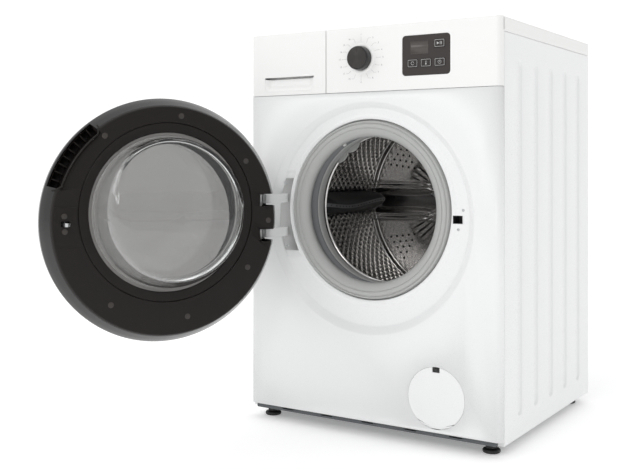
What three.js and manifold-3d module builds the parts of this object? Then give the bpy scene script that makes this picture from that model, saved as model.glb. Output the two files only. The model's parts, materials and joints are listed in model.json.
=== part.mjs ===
// Front load washing machine. Millimetres, +Z up, X to the right seen from the front, front facing -Y.
// Lengths called y below are depths behind the front plane; make() moves every piece so that the
// origin lies on the floor under the middle of the footprint.
import * as THREE from 'three';
import { mergeVertices } from 'three/addons/utils/BufferGeometryUtils.js';
import Module from 'manifold-3d';

const wasm = await Module();
wasm.setup();

// Cabinet
const WIDTH = 595;
const HEIGHT = 850;
const DEPTH = 544;
const SHEET = 1.2;            // steel sheet of the panels
const CORNER_R = 13;          // rounded front corners
const WRAP = 15.7;            // how far the front pieces wrap round the sides
const PANEL_BASE_Z = 30.6;    // lower edge of the front panel
const SIDE_BASE_Z = 21;       // lower edge of the side panels
const FASCIA_Z = 714;         // joint between front panel and fascia
const WORKTOP_T = 30;
const GAP = 0.3;              // between touching pieces
const FLANGE = 14;            // folded edges of the side panels
const RIB = { first: 98, pitch: 91.5, count: 5, z0: 77, z1: 757, w: 30, deep: 5 }; // pressed side grooves
const SIDE_SKIN = 1.5;        // side panel and its clearance, seen from the rear panel
const DISH = { r: 170, deep: 5 }; // bulge of the rear panel behind the pulley

// Porthole, drum and tub share one horizontal axis
const AXIS_Z = 469;
const PORT_R = 188;
const MOUTH_R = 152.8;        // gasket mouth
const DRUM_R = 237;
const DRUM_MOUTH_R = 157;
const DRUM_FRONT = 95;
const DRUM_BACK = 456;
const TUB_R = 262;
const TUB_WALL = 4.5;
const TUB_FRONT = 82;
const TUB_SPLIT = 300;
const TUB_BACK = 479;
const COLLAR_R = 176;         // tub collar that holds the gasket

// Door, drawn closed and turned open about its pins
const DOOR_Z = 452;
const DOOR_R = 244.6;
const DOOR_FACE_R = 226.5;
const DOOR_FACE_Y = 4.3;
const SEAT_R = 240;           // dished seat in the front panel
const SEAT_FLOOR_R = 228;
const SEAT_DEPTH = 12;
const GLASS_R = 150;
const GLASS_SHOW_R = 157.2;
const GLASS_SEAT_R = 177.3;
const PIVOT_X = -224;
const PIVOT_Y = -64;
const DOOR_OPEN = 121.5;      // degrees, pose at rest
const PIN_R = 3;
const GRIP = { a0: 17, a1: 52, r0: 219, r1: 237.5, floor: -44 }; // finger recess behind the rim, degrees
const ARM_H = 19;
const ARM_Z = [407, 480];     // lower edges of the two hinge arms
const PLATE = { x: -231, z0: 375, z1: 533, y0: 12.4, y1: 14.7 }; // hinge plate on the panel
const PLATE_SCREWS = [[-211, 522], [-207, 386]];
const HOOK_PIN_R = 1.5;
const HOOK_Y = -11;           // hook pin, behind the door's inner face
const HOOK_T = 7;
const GLASS_DEEP = 91;        // bowl, from the closed door's rear face into the drum
const GLASS_T = 6;
const LATCH = { x: 202, z: 454.5, w: 20, h: 16 };

// Controls
const KNOB = { x: -11.6, z: 784, r: 25, stem: 3 };
const WINDOW = { x0: 85, x1: 191, z0: 742.5, z1: 823.5, r: 7.5 };
const BUTTONS = { start: [168, 804.5], speed: [108.5, 767], heat: [138.3, 767], delay: [168.5, 767] };
const FASCIA_T = 2.5;         // moulded wall of fascia and drawer
const WORKTOP_FRONT = 5.7;    // step that the worktop lies behind
const DIAL_R = [29.8, 31];    // raised ring round the knob
const BUTTON_W = 23;
const BUTTON_H = 16.5;
const DRAWER_X = -98;         // joint between drawer front and fascia
const PULL = { x0: -258, x1: -129, z0: 723, z1: 754 };

// Drive and services
const PULLEY_R = 140;
const MOTOR_PULLEY_R = 11;
const MOTOR = { x: 85, z: 155, r: 52, shaft: 5 };
const SHAFT_R = 12.5;
const BELT_Y = 510;
const RUN = 0.05;             // running clearance on a radius
const BEARING_R = 30.9;
const LIFTER = { base: 232.6, half: 22, y0: 112, y1: 444 };
const VALVE = { x: -262, z: 765, r: 12 };
const GLAND = { x: 215, z: 765, r: 10 };
const DRAIN = { x: 245, z: 170, r: 12.5, bore: 8 };
const FILL = { x: -150, y: 258 };
const FILTER = { x: 160, z: 100, r: 62 };
const FOOT = { x: 262, y0: 38, y1: 500, r: 18, stem: 5 };
const SUMP = { y: 150, r: 16, bore: 13 }; // spout under the tub and its hose
const INLET = { r: 20, bore: 16 };                // duct from the drawer down to the tub
const SPRING = { x: 235, y: 325 };
const DAMPER = { x: 170, y: 250, r: 10.5, top: 258 };

// Facets round a circle
const ROUND = 32;             // porthole, door, drum
const HIDDEN = 16;            // tub, pulley and other inner pieces
const SMALL = 12;

// ---- helpers ----
function solid(geometry) {
  const bare = new THREE.BufferGeometry();
  bare.setAttribute('position', geometry.getAttribute('position'));
  if (geometry.index) bare.setIndex(geometry.index);
  const g = mergeVertices(bare, 1e-4);
  const p = g.getAttribute('position').array;
  const raw = g.index.array;
  const tri = [];
  let volume = 0;
  for (let i = 0; i < raw.length; i += 3) {
    const [a, b, c] = [raw[i], raw[i + 1], raw[i + 2]];
    if (a === b || b === c || a === c) continue;
    tri.push(a, b, c);
    const [A, B, C] = [a, b, c].map((k) => new THREE.Vector3(p[3 * k], p[3 * k + 1], p[3 * k + 2]));
    volume += A.dot(B.cross(C));
  }
  if (volume < 0) {
    for (let i = 0; i < tri.length; i += 3) [tri[i], tri[i + 1]] = [tri[i + 1], tri[i]];
  }
  const mesh = new wasm.Mesh({
    numProp: 3, vertProperties: Float32Array.from(p), triVerts: Uint32Array.from(tri),
  });
  mesh.merge();
  return new wasm.Manifold(mesh);
}

function join(...parts) { return wasm.Manifold.union(parts.flat()); }
function cut(body, ...tools) { return body.subtract(wasm.Manifold.union(tools.flat())); }

function block(x0, x1, y0, y1, z0, z1) {
  const g = new THREE.BoxGeometry(x1 - x0, y1 - y0, z1 - z0);
  g.translate((x0 + x1) / 2, (y0 + y1) / 2, (z0 + z1) / 2);
  return solid(g);
}

function outline(points) { return new THREE.Shape(points.map(([a, b]) => new THREE.Vector2(a, b))); }

function roundRect(a0, a1, b0, b1, r) {
  const s = new THREE.Shape();
  s.moveTo(a0 + r, b0);
  s.lineTo(a1 - r, b0);
  s.absarc(a1 - r, b0 + r, r, -Math.PI / 2, 0, false);
  s.lineTo(a1, b1 - r);
  s.absarc(a1 - r, b1 - r, r, 0, Math.PI / 2, false);
  s.lineTo(a0 + r, b1);
  s.absarc(a0 + r, b1 - r, r, Math.PI / 2, Math.PI, false);
  s.lineTo(a0, b0 + r);
  s.absarc(a0 + r, b0 + r, r, Math.PI, 1.5 * Math.PI, false);
  return s;
}

// Shape in X and Z, thick along Y
function slabY(shape, y0, y1, curve = 2) {
  const g = new THREE.ExtrudeGeometry(shape, { depth: y1 - y0, bevelEnabled: false, curveSegments: curve });
  g.rotateX(Math.PI / 2);
  g.translate(0, y1, 0);
  return solid(g);
}

// Shape in X and Y, thick along Z
function slabZ(shape, z0, z1, curve = 2) {
  const g = new THREE.ExtrudeGeometry(shape, { depth: z1 - z0, bevelEnabled: false, curveSegments: curve });
  g.translate(0, 0, z0);
  return solid(g);
}

// Profile of [radius, y] turned about a line along Y through x, z
function turnY(profile, x, z, segments = ROUND) {
  const g = new THREE.LatheGeometry(profile.map(([r, y]) => new THREE.Vector2(r, y)), segments);
  g.translate(x, 0, z);
  return solid(g);
}

// Profile of [radius, z] turned about a line along Z through x, y
function turnZ(profile, x, y, segments = SMALL) {
  const g = new THREE.LatheGeometry(profile.map(([r, h]) => new THREE.Vector2(r, h)), segments);
  g.rotateX(Math.PI / 2);
  g.translate(x, y, 0);
  return solid(g);
}

// Radius at the corners of a faceted bore whose flats clear a shaft of radius r
function bore(r, n = SMALL) { return (r + RUN) / Math.cos(Math.PI / n); }

function closed(profile) { return [...profile, profile[0]]; }
function rodY(r, y0, y1, x, z, n = SMALL) { return turnY([[0, y0], [r, y0], [r, y1], [0, y1]], x, z, n); }
function rodZ(r, z0, z1, x, y, n = SMALL) { return turnZ([[0, z0], [r, z0], [r, z1], [0, z1]], x, y, n); }
function pipeY(ri, ro, y0, y1, x, z, n = HIDDEN) {
  return turnY(closed([[ri, y0], [ro, y0], [ro, y1], [ri, y1]]), x, z, n);
}
function pipeZ(ri, ro, z0, z1, x, y, n = SMALL) {
  return turnZ(closed([[ri, z0], [ro, z0], [ro, z1], [ri, z1]]), x, y, n);
}

// Pipe, or a bar where ri is 0, lying along X
function turnX(ri, ro, x0, x1, y, z) {
  const body = ri ? pipeY(ri, ro, x0, x1, 0, 0, 10) : rodY(ro, x0, x1, 0, 0, 10);
  return body.rotate([0, 0, -90]).translate([0, y, z]);
}

// Rings of equal count joined into one skin; ends are capped unless the rings close on themselves
function loft(rings, wrap = false) {
  const n = rings[0].length;
  const m = rings.length;
  const pos = rings.flat().flat();
  const idx = [];
  for (let i = 0; i < (wrap ? m : m - 1); i += 1) {
    const j = (i + 1) % m;
    for (let k = 0; k < n; k += 1) {
      const l = (k + 1) % n;
      idx.push(i * n + k, i * n + l, j * n + l, i * n + k, j * n + l, j * n + k);
    }
  }
  if (!wrap) {
    for (let k = 1; k < n - 1; k += 1) {
      idx.push(0, k + 1, k);
      idx.push((m - 1) * n, (m - 1) * n + k, (m - 1) * n + k + 1);
    }
  }
  const g = new THREE.BufferGeometry();
  g.setAttribute('position', new THREE.Float32BufferAttribute(pos, 3));
  g.setIndex(idx);
  return solid(g);
}

// Round bar or hose along a smooth path; a hose has an inner radius
function hose(points, ro, ri, steps, sides = 8) {
  const curve = new THREE.CatmullRomCurve3(points.map((p) => new THREE.Vector3(...p)));
  const frames = curve.computeFrenetFrames(steps, false);
  const ring = (i, r) => {
    const at = curve.getPointAt(i / steps);
    const pts = [];
    for (let k = 0; k < sides; k += 1) {
      const a = (2 * Math.PI * k) / sides;
      const v = at.clone().addScaledVector(frames.normals[i], r * Math.cos(a))
        .addScaledVector(frames.binormals[i], r * Math.sin(a));
      pts.push([v.x, v.y, v.z]);
    }
    return pts;
  };
  const out = [];
  for (let i = 0; i <= steps; i += 1) out.push(ring(i, ro));
  if (!ri) return loft(out);
  for (let i = steps; i >= 0; i -= 1) out.push(ring(i, ri));
  return loft(out, true);
}

// Part of a ring between two angles, in degrees from +X towards +Z
function sectorY(ri, ro, y0, y1, x, z, a0, a1, n = 6) {
  const pts = [];
  for (let i = 0; i <= n; i += 1) {
    const a = THREE.MathUtils.degToRad(a0 + ((a1 - a0) * i) / n);
    pts.push([x + ro * Math.cos(a), z + ro * Math.sin(a)]);
  }
  for (let i = n; i >= 0; i -= 1) {
    const a = THREE.MathUtils.degToRad(a0 + ((a1 - a0) * i) / n);
    pts.push([x + ri * Math.cos(a), z + ri * Math.sin(a)]);
  }
  return slabY(outline(pts), y0, y1);
}

const group = new THREE.Group();
group.name = 'front_load_washer';

function make(name, body, colour, roughness, metalness) {
  const m = body.translate([0, -DEPTH / 2, 0]).getMesh();
  const g = new THREE.BufferGeometry();
  g.setAttribute('position', new THREE.Float32BufferAttribute(m.vertProperties, 3));
  g.setIndex(new THREE.Uint32BufferAttribute(m.triVerts, 1));
  g.computeVertexNormals();
  const material = new THREE.MeshStandardMaterial({ color: colour, roughness, metalness, flatShading: true });
  const mesh = new THREE.Mesh(g, material);
  mesh.name = name;
  group.add(mesh);
}

// ---- cabinet ----
// Sheet folded round both front corners, drawn in plan
function wrapPlan(x0, x1, t, back) {
  const half = WIDTH / 2;
  const arc = (side, r, n = 4) => {
    const pts = [];
    for (let i = 0; i <= n; i += 1) {
      const a = (Math.PI / 2) * (i / n);
      pts.push([side * (half - CORNER_R + r * Math.cos(a)), CORNER_R - r * Math.sin(a)]);
    }
    return pts;
  };
  const right = x1 >= half;
  const left = x0 <= -half;
  const pts = [];
  if (right) {
    pts.push([half, back], ...arc(1, CORNER_R));
  } else {
    pts.push([x1, t], [x1, 0]);
  }
  if (left) {
    pts.push(...arc(-1, CORNER_R).reverse(), [-half, back]);
    pts.push([-half + t, back], ...arc(-1, CORNER_R - t));
  } else {
    pts.push([x0, 0], [x0, t]);
  }
  if (right) pts.push(...arc(1, CORNER_R - t).reverse(), [half - t, back]);
  return outline(pts);
}

function frontPanel() {
  const top = FASCIA_Z - GAP;
  const lip = WIDTH / 2 - CORNER_R;
  let body = join(
    slabZ(wrapPlan(-WIDTH / 2, WIDTH / 2, SHEET, WRAP), PANEL_BASE_Z, top),
    block(-lip, lip, SHEET / 2, WRAP, PANEL_BASE_Z, PANEL_BASE_Z + SHEET),
    block(-lip, lip, SHEET / 2, WRAP, top - SHEET, top),
  );
  body = cut(body, rodY(SEAT_R + 0.6, -1, 2, 0, DOOR_Z, ROUND),
    rodY(FILTER.r, -1, 2, FILTER.x, FILTER.z, ROUND));
  const seat = turnY(closed([[SEAT_R, 0], [SEAT_FLOOR_R, SEAT_DEPTH], [150, SEAT_DEPTH],
    [150, SEAT_DEPTH + SHEET], [SEAT_FLOOR_R + 0.9, SEAT_DEPTH + SHEET], [SEAT_R + 1.4, SHEET],
    [SEAT_R + 1.4, 0]]), 0, DOOR_Z, ROUND);
  const [px, pz0, pz1] = [PLATE.x - 9, PLATE.z0 - 11, PLATE.z1 + 15];
  const pocket = roundRect(px, -170, pz0, pz1, 12);
  const inner = roundRect(px + SHEET, -170, pz0 + SHEET, pz1 - SHEET, 11);
  const ring = (a, b) => pipeY(PORT_R + 0.6, SEAT_FLOOR_R - b, 5, 30, 0, DOOR_Z, ROUND).intersect(
    cut(rodY(300, 5, 30, 0, AXIS_Z, ROUND), rodY(PORT_R + a, 4, 31, 0, AXIS_Z, ROUND)));
  let floor = join(seat, slabY(pocket, SEAT_DEPTH, SEAT_DEPTH + 4.2).intersect(ring(0.4, 0)));
  floor = cut(floor, slabY(inner, SEAT_DEPTH - 1, SEAT_DEPTH + 3).intersect(ring(1.6, 1.2)));
  const { x, z, w, h } = LATCH;
  floor = cut(floor, rodY(PORT_R + 0.6, 0, 40, 0, AXIS_Z, ROUND),
    block(x - w / 2, x + w / 2, 5, 20, z - h / 2, z + h / 2));
  const rim = pipeY(PORT_R, PORT_R + SHEET, SEAT_DEPTH, 26, 0, AXIS_Z, ROUND);
  make('front_panel', join(body, floor, rim), 0xf1f2f2, 0.35, 0.1);
}

function sidePanel(side) {
  const half = WIDTH / 2;
  const y0 = WRAP + GAP;
  const y1 = DEPTH - SHEET - GAP;
  const top = HEIGHT - WORKTOP_T - GAP;
  const plan = outline([[half, y0], [half, y1], [half - FLANGE, y1], [half - FLANGE, y1 - SHEET],
    [half - SHEET, y1 - SHEET], [half - SHEET, y0 + SHEET], [half - FLANGE, y0 + SHEET],
    [half - FLANGE, y0]]);
  const stadium = (w, x) => {
    const ring = [];
    for (let i = 0; i < 8; i += 1) {
      const a = (Math.PI * 2 * (i + 0.5)) / 8;
      const up = Math.sin(a) > 0 ? RIB.z1 : RIB.z0;
      ring.push([x, (w / 2) * Math.cos(a), up + (w / 2) * Math.sin(a)]);
    }
    return ring;
  };
  let body = join(slabZ(plan, SIDE_BASE_Z, top),
    block(half - FLANGE, half - SHEET / 2, y0, y1, top - SHEET, top),
    block(half - FLANGE, half - SHEET / 2, y0, y1, SIDE_BASE_Z, SIDE_BASE_Z + SHEET));
  const { x: sx, y: sy } = SPRING;
  const hanger = cut(join(block(sx - 16, half - SHEET / 2, sy - 16, sy + 16, 790, 793),
    [-16, 13].map((d) => block(sx - 16, half - 6, sy + d, sy + d + 3, 790, top - SHEET / 2))),
  rodZ(4, 785, 795, sx, sy, 12));
  body = join(body, hanger);
  const ribs = Array.from({ length: RIB.count }, (_, i) => RIB.first + RIB.pitch * i);
  const boss = loft([stadium(RIB.w, half - SHEET / 2), stadium(RIB.w - 10, half - RIB.deep)]);
  const groove = loft([stadium(RIB.w - 1.5, half + 0.2), stadium(RIB.w - 12, half - RIB.deep + SHEET)]);
  body = join(body, ribs.map((y) => boss.translate([0, y, 0])));
  body = cut(body, ribs.map((y) => groove.translate([0, y, 0])));
  if (side < 0) body = body.mirror([1, 0, 0]);
  make(side < 0 ? 'side_panel_left' : 'side_panel_right', body, 0xf1f2f2, 0.35, 0.1);
}

function rearPanel() {
  const [y0, y1] = [DEPTH - SHEET, DEPTH];
  const edge = WIDTH / 2 - SIDE_SKIN;
  const holes = [VALVE, GLAND, DRAIN].map(({ x, z, r }) => rodY(r, y0 - 5, y1 + 5, x, z));
  const body = cut(block(-edge, edge, y0, y1, SIDE_BASE_Z + 5, HEIGHT - WORKTOP_T - 4),
    rodY(DISH.r, y0 - 1, y1 + 1, 0, AXIS_Z, HIDDEN), holes);
  const { r, deep } = DISH;
  const dish = turnY([[0, y0 - deep], [r - 10, y0 - deep], [r + 1, y0], [r + 1, y1], [r - 1.4, y1],
    [r - 11.2, y1 - deep], [0, y1 - deep]], 0, AXIS_Z, HIDDEN);
  make('rear_panel', join(body, dish), 0xc9cccd, 0.4, 0.6);
}

function worktop() {
  const plan = roundRect(-WIDTH / 2 + 4, WIDTH / 2 - 4, 10, DEPTH - 2, 3);
  const g = new THREE.ExtrudeGeometry(plan, {
    depth: WORKTOP_T - 8, bevelEnabled: true, bevelThickness: 4, bevelSize: 4, bevelSegments: 2,
    curveSegments: 2,
  });
  g.translate(0, 0, HEIGHT - WORKTOP_T + 4);
  make('worktop', solid(g), 0xf4f4f3, 0.45, 0.0);
}

function baseFrame() {
  const x = WIDTH / 2 - FLANGE - GAP;
  const z = SIDE_BASE_Z;
  const t = 3;
  const outside = join(block(-x, x, 19, DEPTH - 3, z, z + 36), block(-x, x, 6, 22, z, PANEL_BASE_Z - GAP));
  const tray = cut(outside, block(-x + t, x - t, 22, DEPTH - 6, z + t, z + 40),
    block(-x + t, x - t, 9, 19, z + t, z + 40));
  const corners = [-1, 1].flatMap((s) => [FOOT.y0, FOOT.y1].map((y) => [s * FOOT.x, y]));
  const bosses = corners.map(([fx, fy]) => rodZ(13, z, z + 18, fx, fy));
  const bores = corners.map(([fx, fy]) => rodZ(FOOT.stem + RUN, z - 1, z + 19, fx, fy));
  const { x: dx, y: dy } = DAMPER;
  const pads = [-1, 1].map((s) => block(s * dx - 22, s * dx + 22, dy - 20, dy + 20, z + 2, z + 8));
  const slots = [-2, -1, 0, 1, 2].map((i) => block(i * 100 - 14, i * 100 + 14, 5, 10, z + 4, z + 6.5));
  const vents = [-1, 0, 1].map((i) => block(i * 60 - 20, i * 60 + 20, 300, 450, z - 1, z + 4));
  make('base_frame', cut(join(tray, bosses, pads), bores, slots, vents), 0x6f7274, 0.6, 0.2);
}

function feet() {
  const names = ['front_left', 'front_right', 'rear_left', 'rear_right'];
  [[-1, FOOT.y0], [1, FOOT.y0], [-1, FOOT.y1], [1, FOOT.y1]].forEach(([s, y], i) => {
    const pad = turnZ([[0, 0], [FOOT.r - 2, 0], [FOOT.r, 3], [FOOT.r - 1, 8], [11, 10], [FOOT.stem, 12],
      [FOOT.stem, 37], [0, 37]], s * FOOT.x, y);
    make(`foot_${names[i]}`, pad, 0x1c1c1c, 0.7, 0.1);
  });
}

// ---- controls ----
function fascia() {
  const t = FASCIA_T;
  const x0 = DRAWER_X + GAP;
  let body = slabZ(wrapPlan(x0, WIDTH / 2, t, WRAP), FASCIA_Z, HEIGHT);
  const lip = WIDTH / 2 - CORNER_R;
  body = join(body, block(x0, lip, 1, WRAP, FASCIA_Z, FASCIA_Z + t), block(x0, x0 + t, 1, 24, FASCIA_Z, 818),
    block(x0, lip, 1, WORKTOP_FRONT, HEIGHT - t, HEIGHT));
  const posts = [[50, 735], [50, 812], [205, 735], [205, 812], [-60, 745], [-60, 812]];
  body = join(body, posts.map(([x, z]) => rodY(4, 1, 15.7, x, z, 6)));
  body = cut(body, block(-WIDTH, WIDTH, WORKTOP_FRONT, 40, HEIGHT - WORKTOP_T - GAP, HEIGHT + 1));
  const { x0: a, x1: b, z0: c, z1: d, r } = WINDOW;
  const collar = turnY(closed([[KNOB.r + 0.8, -1.6], [DIAL_R[0], -1.6], [DIAL_R[1], -0.9], [DIAL_R[1], 1],
    [KNOB.r + 0.8, 1]]), KNOB.x, KNOB.z, HIDDEN);
  make('control_fascia', cut(join(body, collar), slabY(roundRect(a, b, c, d, r), -2, 6),
    rodY(8, -2, 6, KNOB.x, KNOB.z)), 0xf4f4f3, 0.35, 0.0);
}

function displayWindow() {
  const { x0, x1, z0, z1, r } = WINDOW;
  const g = GAP;
  const face = slabY(roundRect(x0 + g, x1 - g, z0 + g, z1 - g, r - g), 0.2, 4.6);
  const flange = slabY(roundRect(x0 - 4, x1 + 4, z0 - 4, z1 + 4, 5), 2.8, 4.6);
  const [w, h] = [BUTTON_W / 2 + g, BUTTON_H / 2 + g];
  const holes = Object.values(BUTTONS).map(([x, z]) => slabY(
    roundRect(x - w, x + w, z - h, z + h, 2 + g), -1, 6, 1));
  make('display_window', cut(join(face, flange), holes), 0x2a2726, 0.15, 0.0);
}

function buttons() {
  Object.entries(BUTTONS).forEach(([name, [x, z]]) => {
    const w = BUTTON_W / 2;
    const h = BUTTON_H / 2;
    const cap = slabY(roundRect(x - w, x + w, z - h, z + h, 2), -0.8, 4, 1);
    make(`button_${name}`, join(cap, block(x - 3, x + 3, 3, 10.4, z - 3, z + 3)), 0x2e2b2a, 0.3, 0.0);
  });
}

function controlBoard() {
  const y = 16;
  const board = block(-66, 212, y, y + 1.6, 728, 818);
  const keys = Object.values(BUTTONS).map(([x, z]) => block(x - 4, x + 4, 12.1, y + 1, z - 4, z + 4));
  const encoder = block(KNOB.x - 13, KNOB.x + 13, 4.5, y + 1, KNOB.z - 13, KNOB.z + 13);
  const screen = block(102, 145, 5.2, y + 1, 783, 813);
  const relays = [[-40, 745], [-15, 745], [20, 745], [70, 760]]
    .map(([x, z]) => block(x - 9, x + 9, y + 1, y + 18, z - 7, z + 7));
  const filter = block(30, 80, y + 1, y + 26, 786, 816);
  make('control_board', cut(join(board, keys, encoder, screen, relays, filter),
    rodY(bore(KNOB.stem), 0, 15, KNOB.x, KNOB.z)), 0x2f6b3c, 0.5, 0.1);
}

function knob() {
  const body = turnY([[0, -18.6], [KNOB.r - 3.4, -18.6], [KNOB.r - 1, -17.6], [KNOB.r - 0.2, -15.4],
    [KNOB.r, -0.6], [KNOB.stem, -0.6], [KNOB.stem, 13.5], [0, 13.5]], KNOB.x, KNOB.z, HIDDEN);
  const notch = block(KNOB.x - 1, KNOB.x + 1, -19.5, -17.9, KNOB.z + 9, KNOB.z + 24);
  make('programme_knob', cut(body, notch), 0x1d1c1c, 0.3, 0.5);
}

// ---- detergent drawer ----
function drawer() {
  const t = FASCIA_T;
  const x1 = DRAWER_X - GAP;
  const x0 = -WIDTH / 2;
  const lip = -x0 - CORNER_R;
  let front = slabZ(wrapPlan(x0, x1, t, WRAP), FASCIA_Z, HEIGHT);
  front = join(front, block(-lip, x1, 1, 15, FASCIA_Z, FASCIA_Z + t),
    block(x1 - t, x1, 1, 15, FASCIA_Z, HEIGHT - 40), block(-lip, x1, 1, WORKTOP_FRONT, HEIGHT - t, HEIGHT));
  front = cut(front, block(-WIDTH, 0, WORKTOP_FRONT, 40, HEIGHT - WORKTOP_T - GAP, HEIGHT + 1));
  const cup = roundRect(PULL.x0 - 2, PULL.x1 + 2, PULL.z0 - 2, PULL.z1 + 16, 10);
  const hollow = roundRect(PULL.x0, PULL.x1, PULL.z0, PULL.z1 + 14, 8);
  const mouth = slabY(roundRect(PULL.x0, PULL.x1, PULL.z0, PULL.z1 + 20, 8), -1, 4)
    .intersect(block(PULL.x0, PULL.x1, -1, 4, PULL.z0 - 5, PULL.z1));
  front = cut(join(front, slabY(cup, 1, 21)), slabY(hollow, t, 19), mouth);
  make('drawer_front', front, 0xf4f4f3, 0.35, 0.0);

  const [a, b, c, d] = [-272, -118, 21.4, 285];
  const w = 2;
  let tray = cut(block(a, b, c, d, 733, 796),
    block(a + w, -200, c + 3, 150, 738, 800), block(-198, b - w, c + 3, 150, 738, 800),
    block(a + w, b - w, 152, d - w, 738, 800));
  tray = cut(tray, [0, 1, 2].map((i) => block(-265 + i * 50, -235 + i * 50, d - 5, d + 1, 740, 752)));
  make('drawer_tray', tray, 0xe9ecee, 0.4, 0.0);

  const [e, f, g, h] = [-277, -113, 24, 300];
  let box = cut(block(e, f, g, h, 726, 804), block(e + w, f - w, g - 1, h - w, 728, 802));
  box = join(box, pipeZ(INLET.bore, INLET.r, 712, 728, FILL.x, FILL.y),
    pipeY(7, 9, h - 1, 494, VALVE.x, VALVE.z, SMALL));
  box = cut(box, rodZ(INLET.bore, 700, 735, FILL.x, FILL.y), rodY(7, h - 5, 496, VALVE.x, VALVE.z));
  make('drawer_housing', box, 0xc8ccd0, 0.5, 0.0);
}

// ---- hinge and lock on the cabinet ----
function hingeBracket() {
  const plate = slabY(roundRect(PLATE.x, -170, PLATE.z0, PLATE.z1, 5), PLATE.y0, PLATE.y1)
    .intersect(cut(rodY(SEAT_FLOOR_R - 3, 10, 20, 0, DOOR_Z, ROUND),
      [AXIS_Z, DOOR_Z].map((z) => rodY(PORT_R + 4, 9, 21, 0, z, ROUND))));
  const spine = [[PIVOT_X, PIVOT_Y], [PIVOT_X + 14, PIVOT_Y + 1], [PIVOT_X + 20, PIVOT_Y + 7],
    [PIVOT_X + 21.5, PIVOT_Y + 16], [PIVOT_X + 21.5, -20], [PIVOT_X + 17, 0],
    [PIVOT_X + 13, PLATE.y0]];
  const side = (s) => spine.map(([x, y], i) => {
    const [ax, ay] = spine[Math.max(i - 1, 0)];
    const [bx, by] = spine[Math.min(i + 1, spine.length - 1)];
    const len = Math.hypot(bx - ax, by - ay);
    const half = i > 4 ? 5.5 : 4;
    return [x + (s * half * (by - ay)) / len, y - (s * half * (bx - ax)) / len];
  });
  const neck = outline([...side(1), ...side(-1).reverse()]);
  const arms = ARM_Z.map((z) => cut(join(slabZ(neck, z, z + ARM_H), rodZ(6, z, z + ARM_H, PIVOT_X, PIVOT_Y)),
    rodZ(bore(PIN_R), z - 1, z + ARM_H + 1, PIVOT_X, PIVOT_Y)));
  const bored = cut(plate, PLATE_SCREWS.map(([x, z]) => rodY(2.6, 10, 20, x, z)));
  make('hinge_bracket', join(bored, arms), 0xd4d6d8, 0.35, 0.6);
}

function doorLock() {
  const { x, z, w, h } = LATCH;
  const body = block(PORT_R + SHEET + 1, 232, SEAT_DEPTH + SHEET + GAP, 40, z - 30, z + 30);
  const slot = block(x - w / 2 + 0.3, x + w / 2, 10, 38, z - h / 2, z + h / 2);
  make('door_lock', cut(body, slot), 0x2c2d2f, 0.6, 0.0);
}

// ---- door ----
const COVER_OUT = [[229.5, -3], [DOOR_R, -31.7], [243.2, -52], [238, -71], [224, -83], [168, -89.5]];
const COVER_IN = [[160, -84.3], [221.8, -80.5], [235.5, -69.6], [240.6, -51.6], [242, -32], [227, -3]];

function openDoor(body) {
  return body.translate([-PIVOT_X, -PIVOT_Y, 0]).rotate([0, 0, -DOOR_OPEN]).translate([PIVOT_X, PIVOT_Y, 0]);
}

function armSlots() {
  return ARM_Z.map((z) => block(-260, PIVOT_X + 29, PIVOT_Y - 2, 10, z - 3, z + ARM_H + 3));
}

function doorCover() {
  const shell = turnY(closed([...COVER_OUT, [168, -86.5], [160, -86.5], ...COVER_IN]), 0, DOOR_Z, ROUND);
  const reach = sectorY(200, 250, -29.5, 10, 0, DOOR_Z, GRIP.a0, GRIP.a1, HIDDEN);
  make('door_cover', openDoor(cut(shell, armSlots(), reach)), 0x242120, 0.12, 0.0);
  const pane = turnY([[0, -97], [60, -96.2], [120, -93.6], [167.7, -89.4], [167.7, -86.8], [160, -86.8],
    [120, -90.6], [60, -93.2], [0, -94]], 0, DOOR_Z, ROUND);
  make('door_window', openDoor(pane), 0x3a3636, 0.08, 0.0);
}

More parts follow.
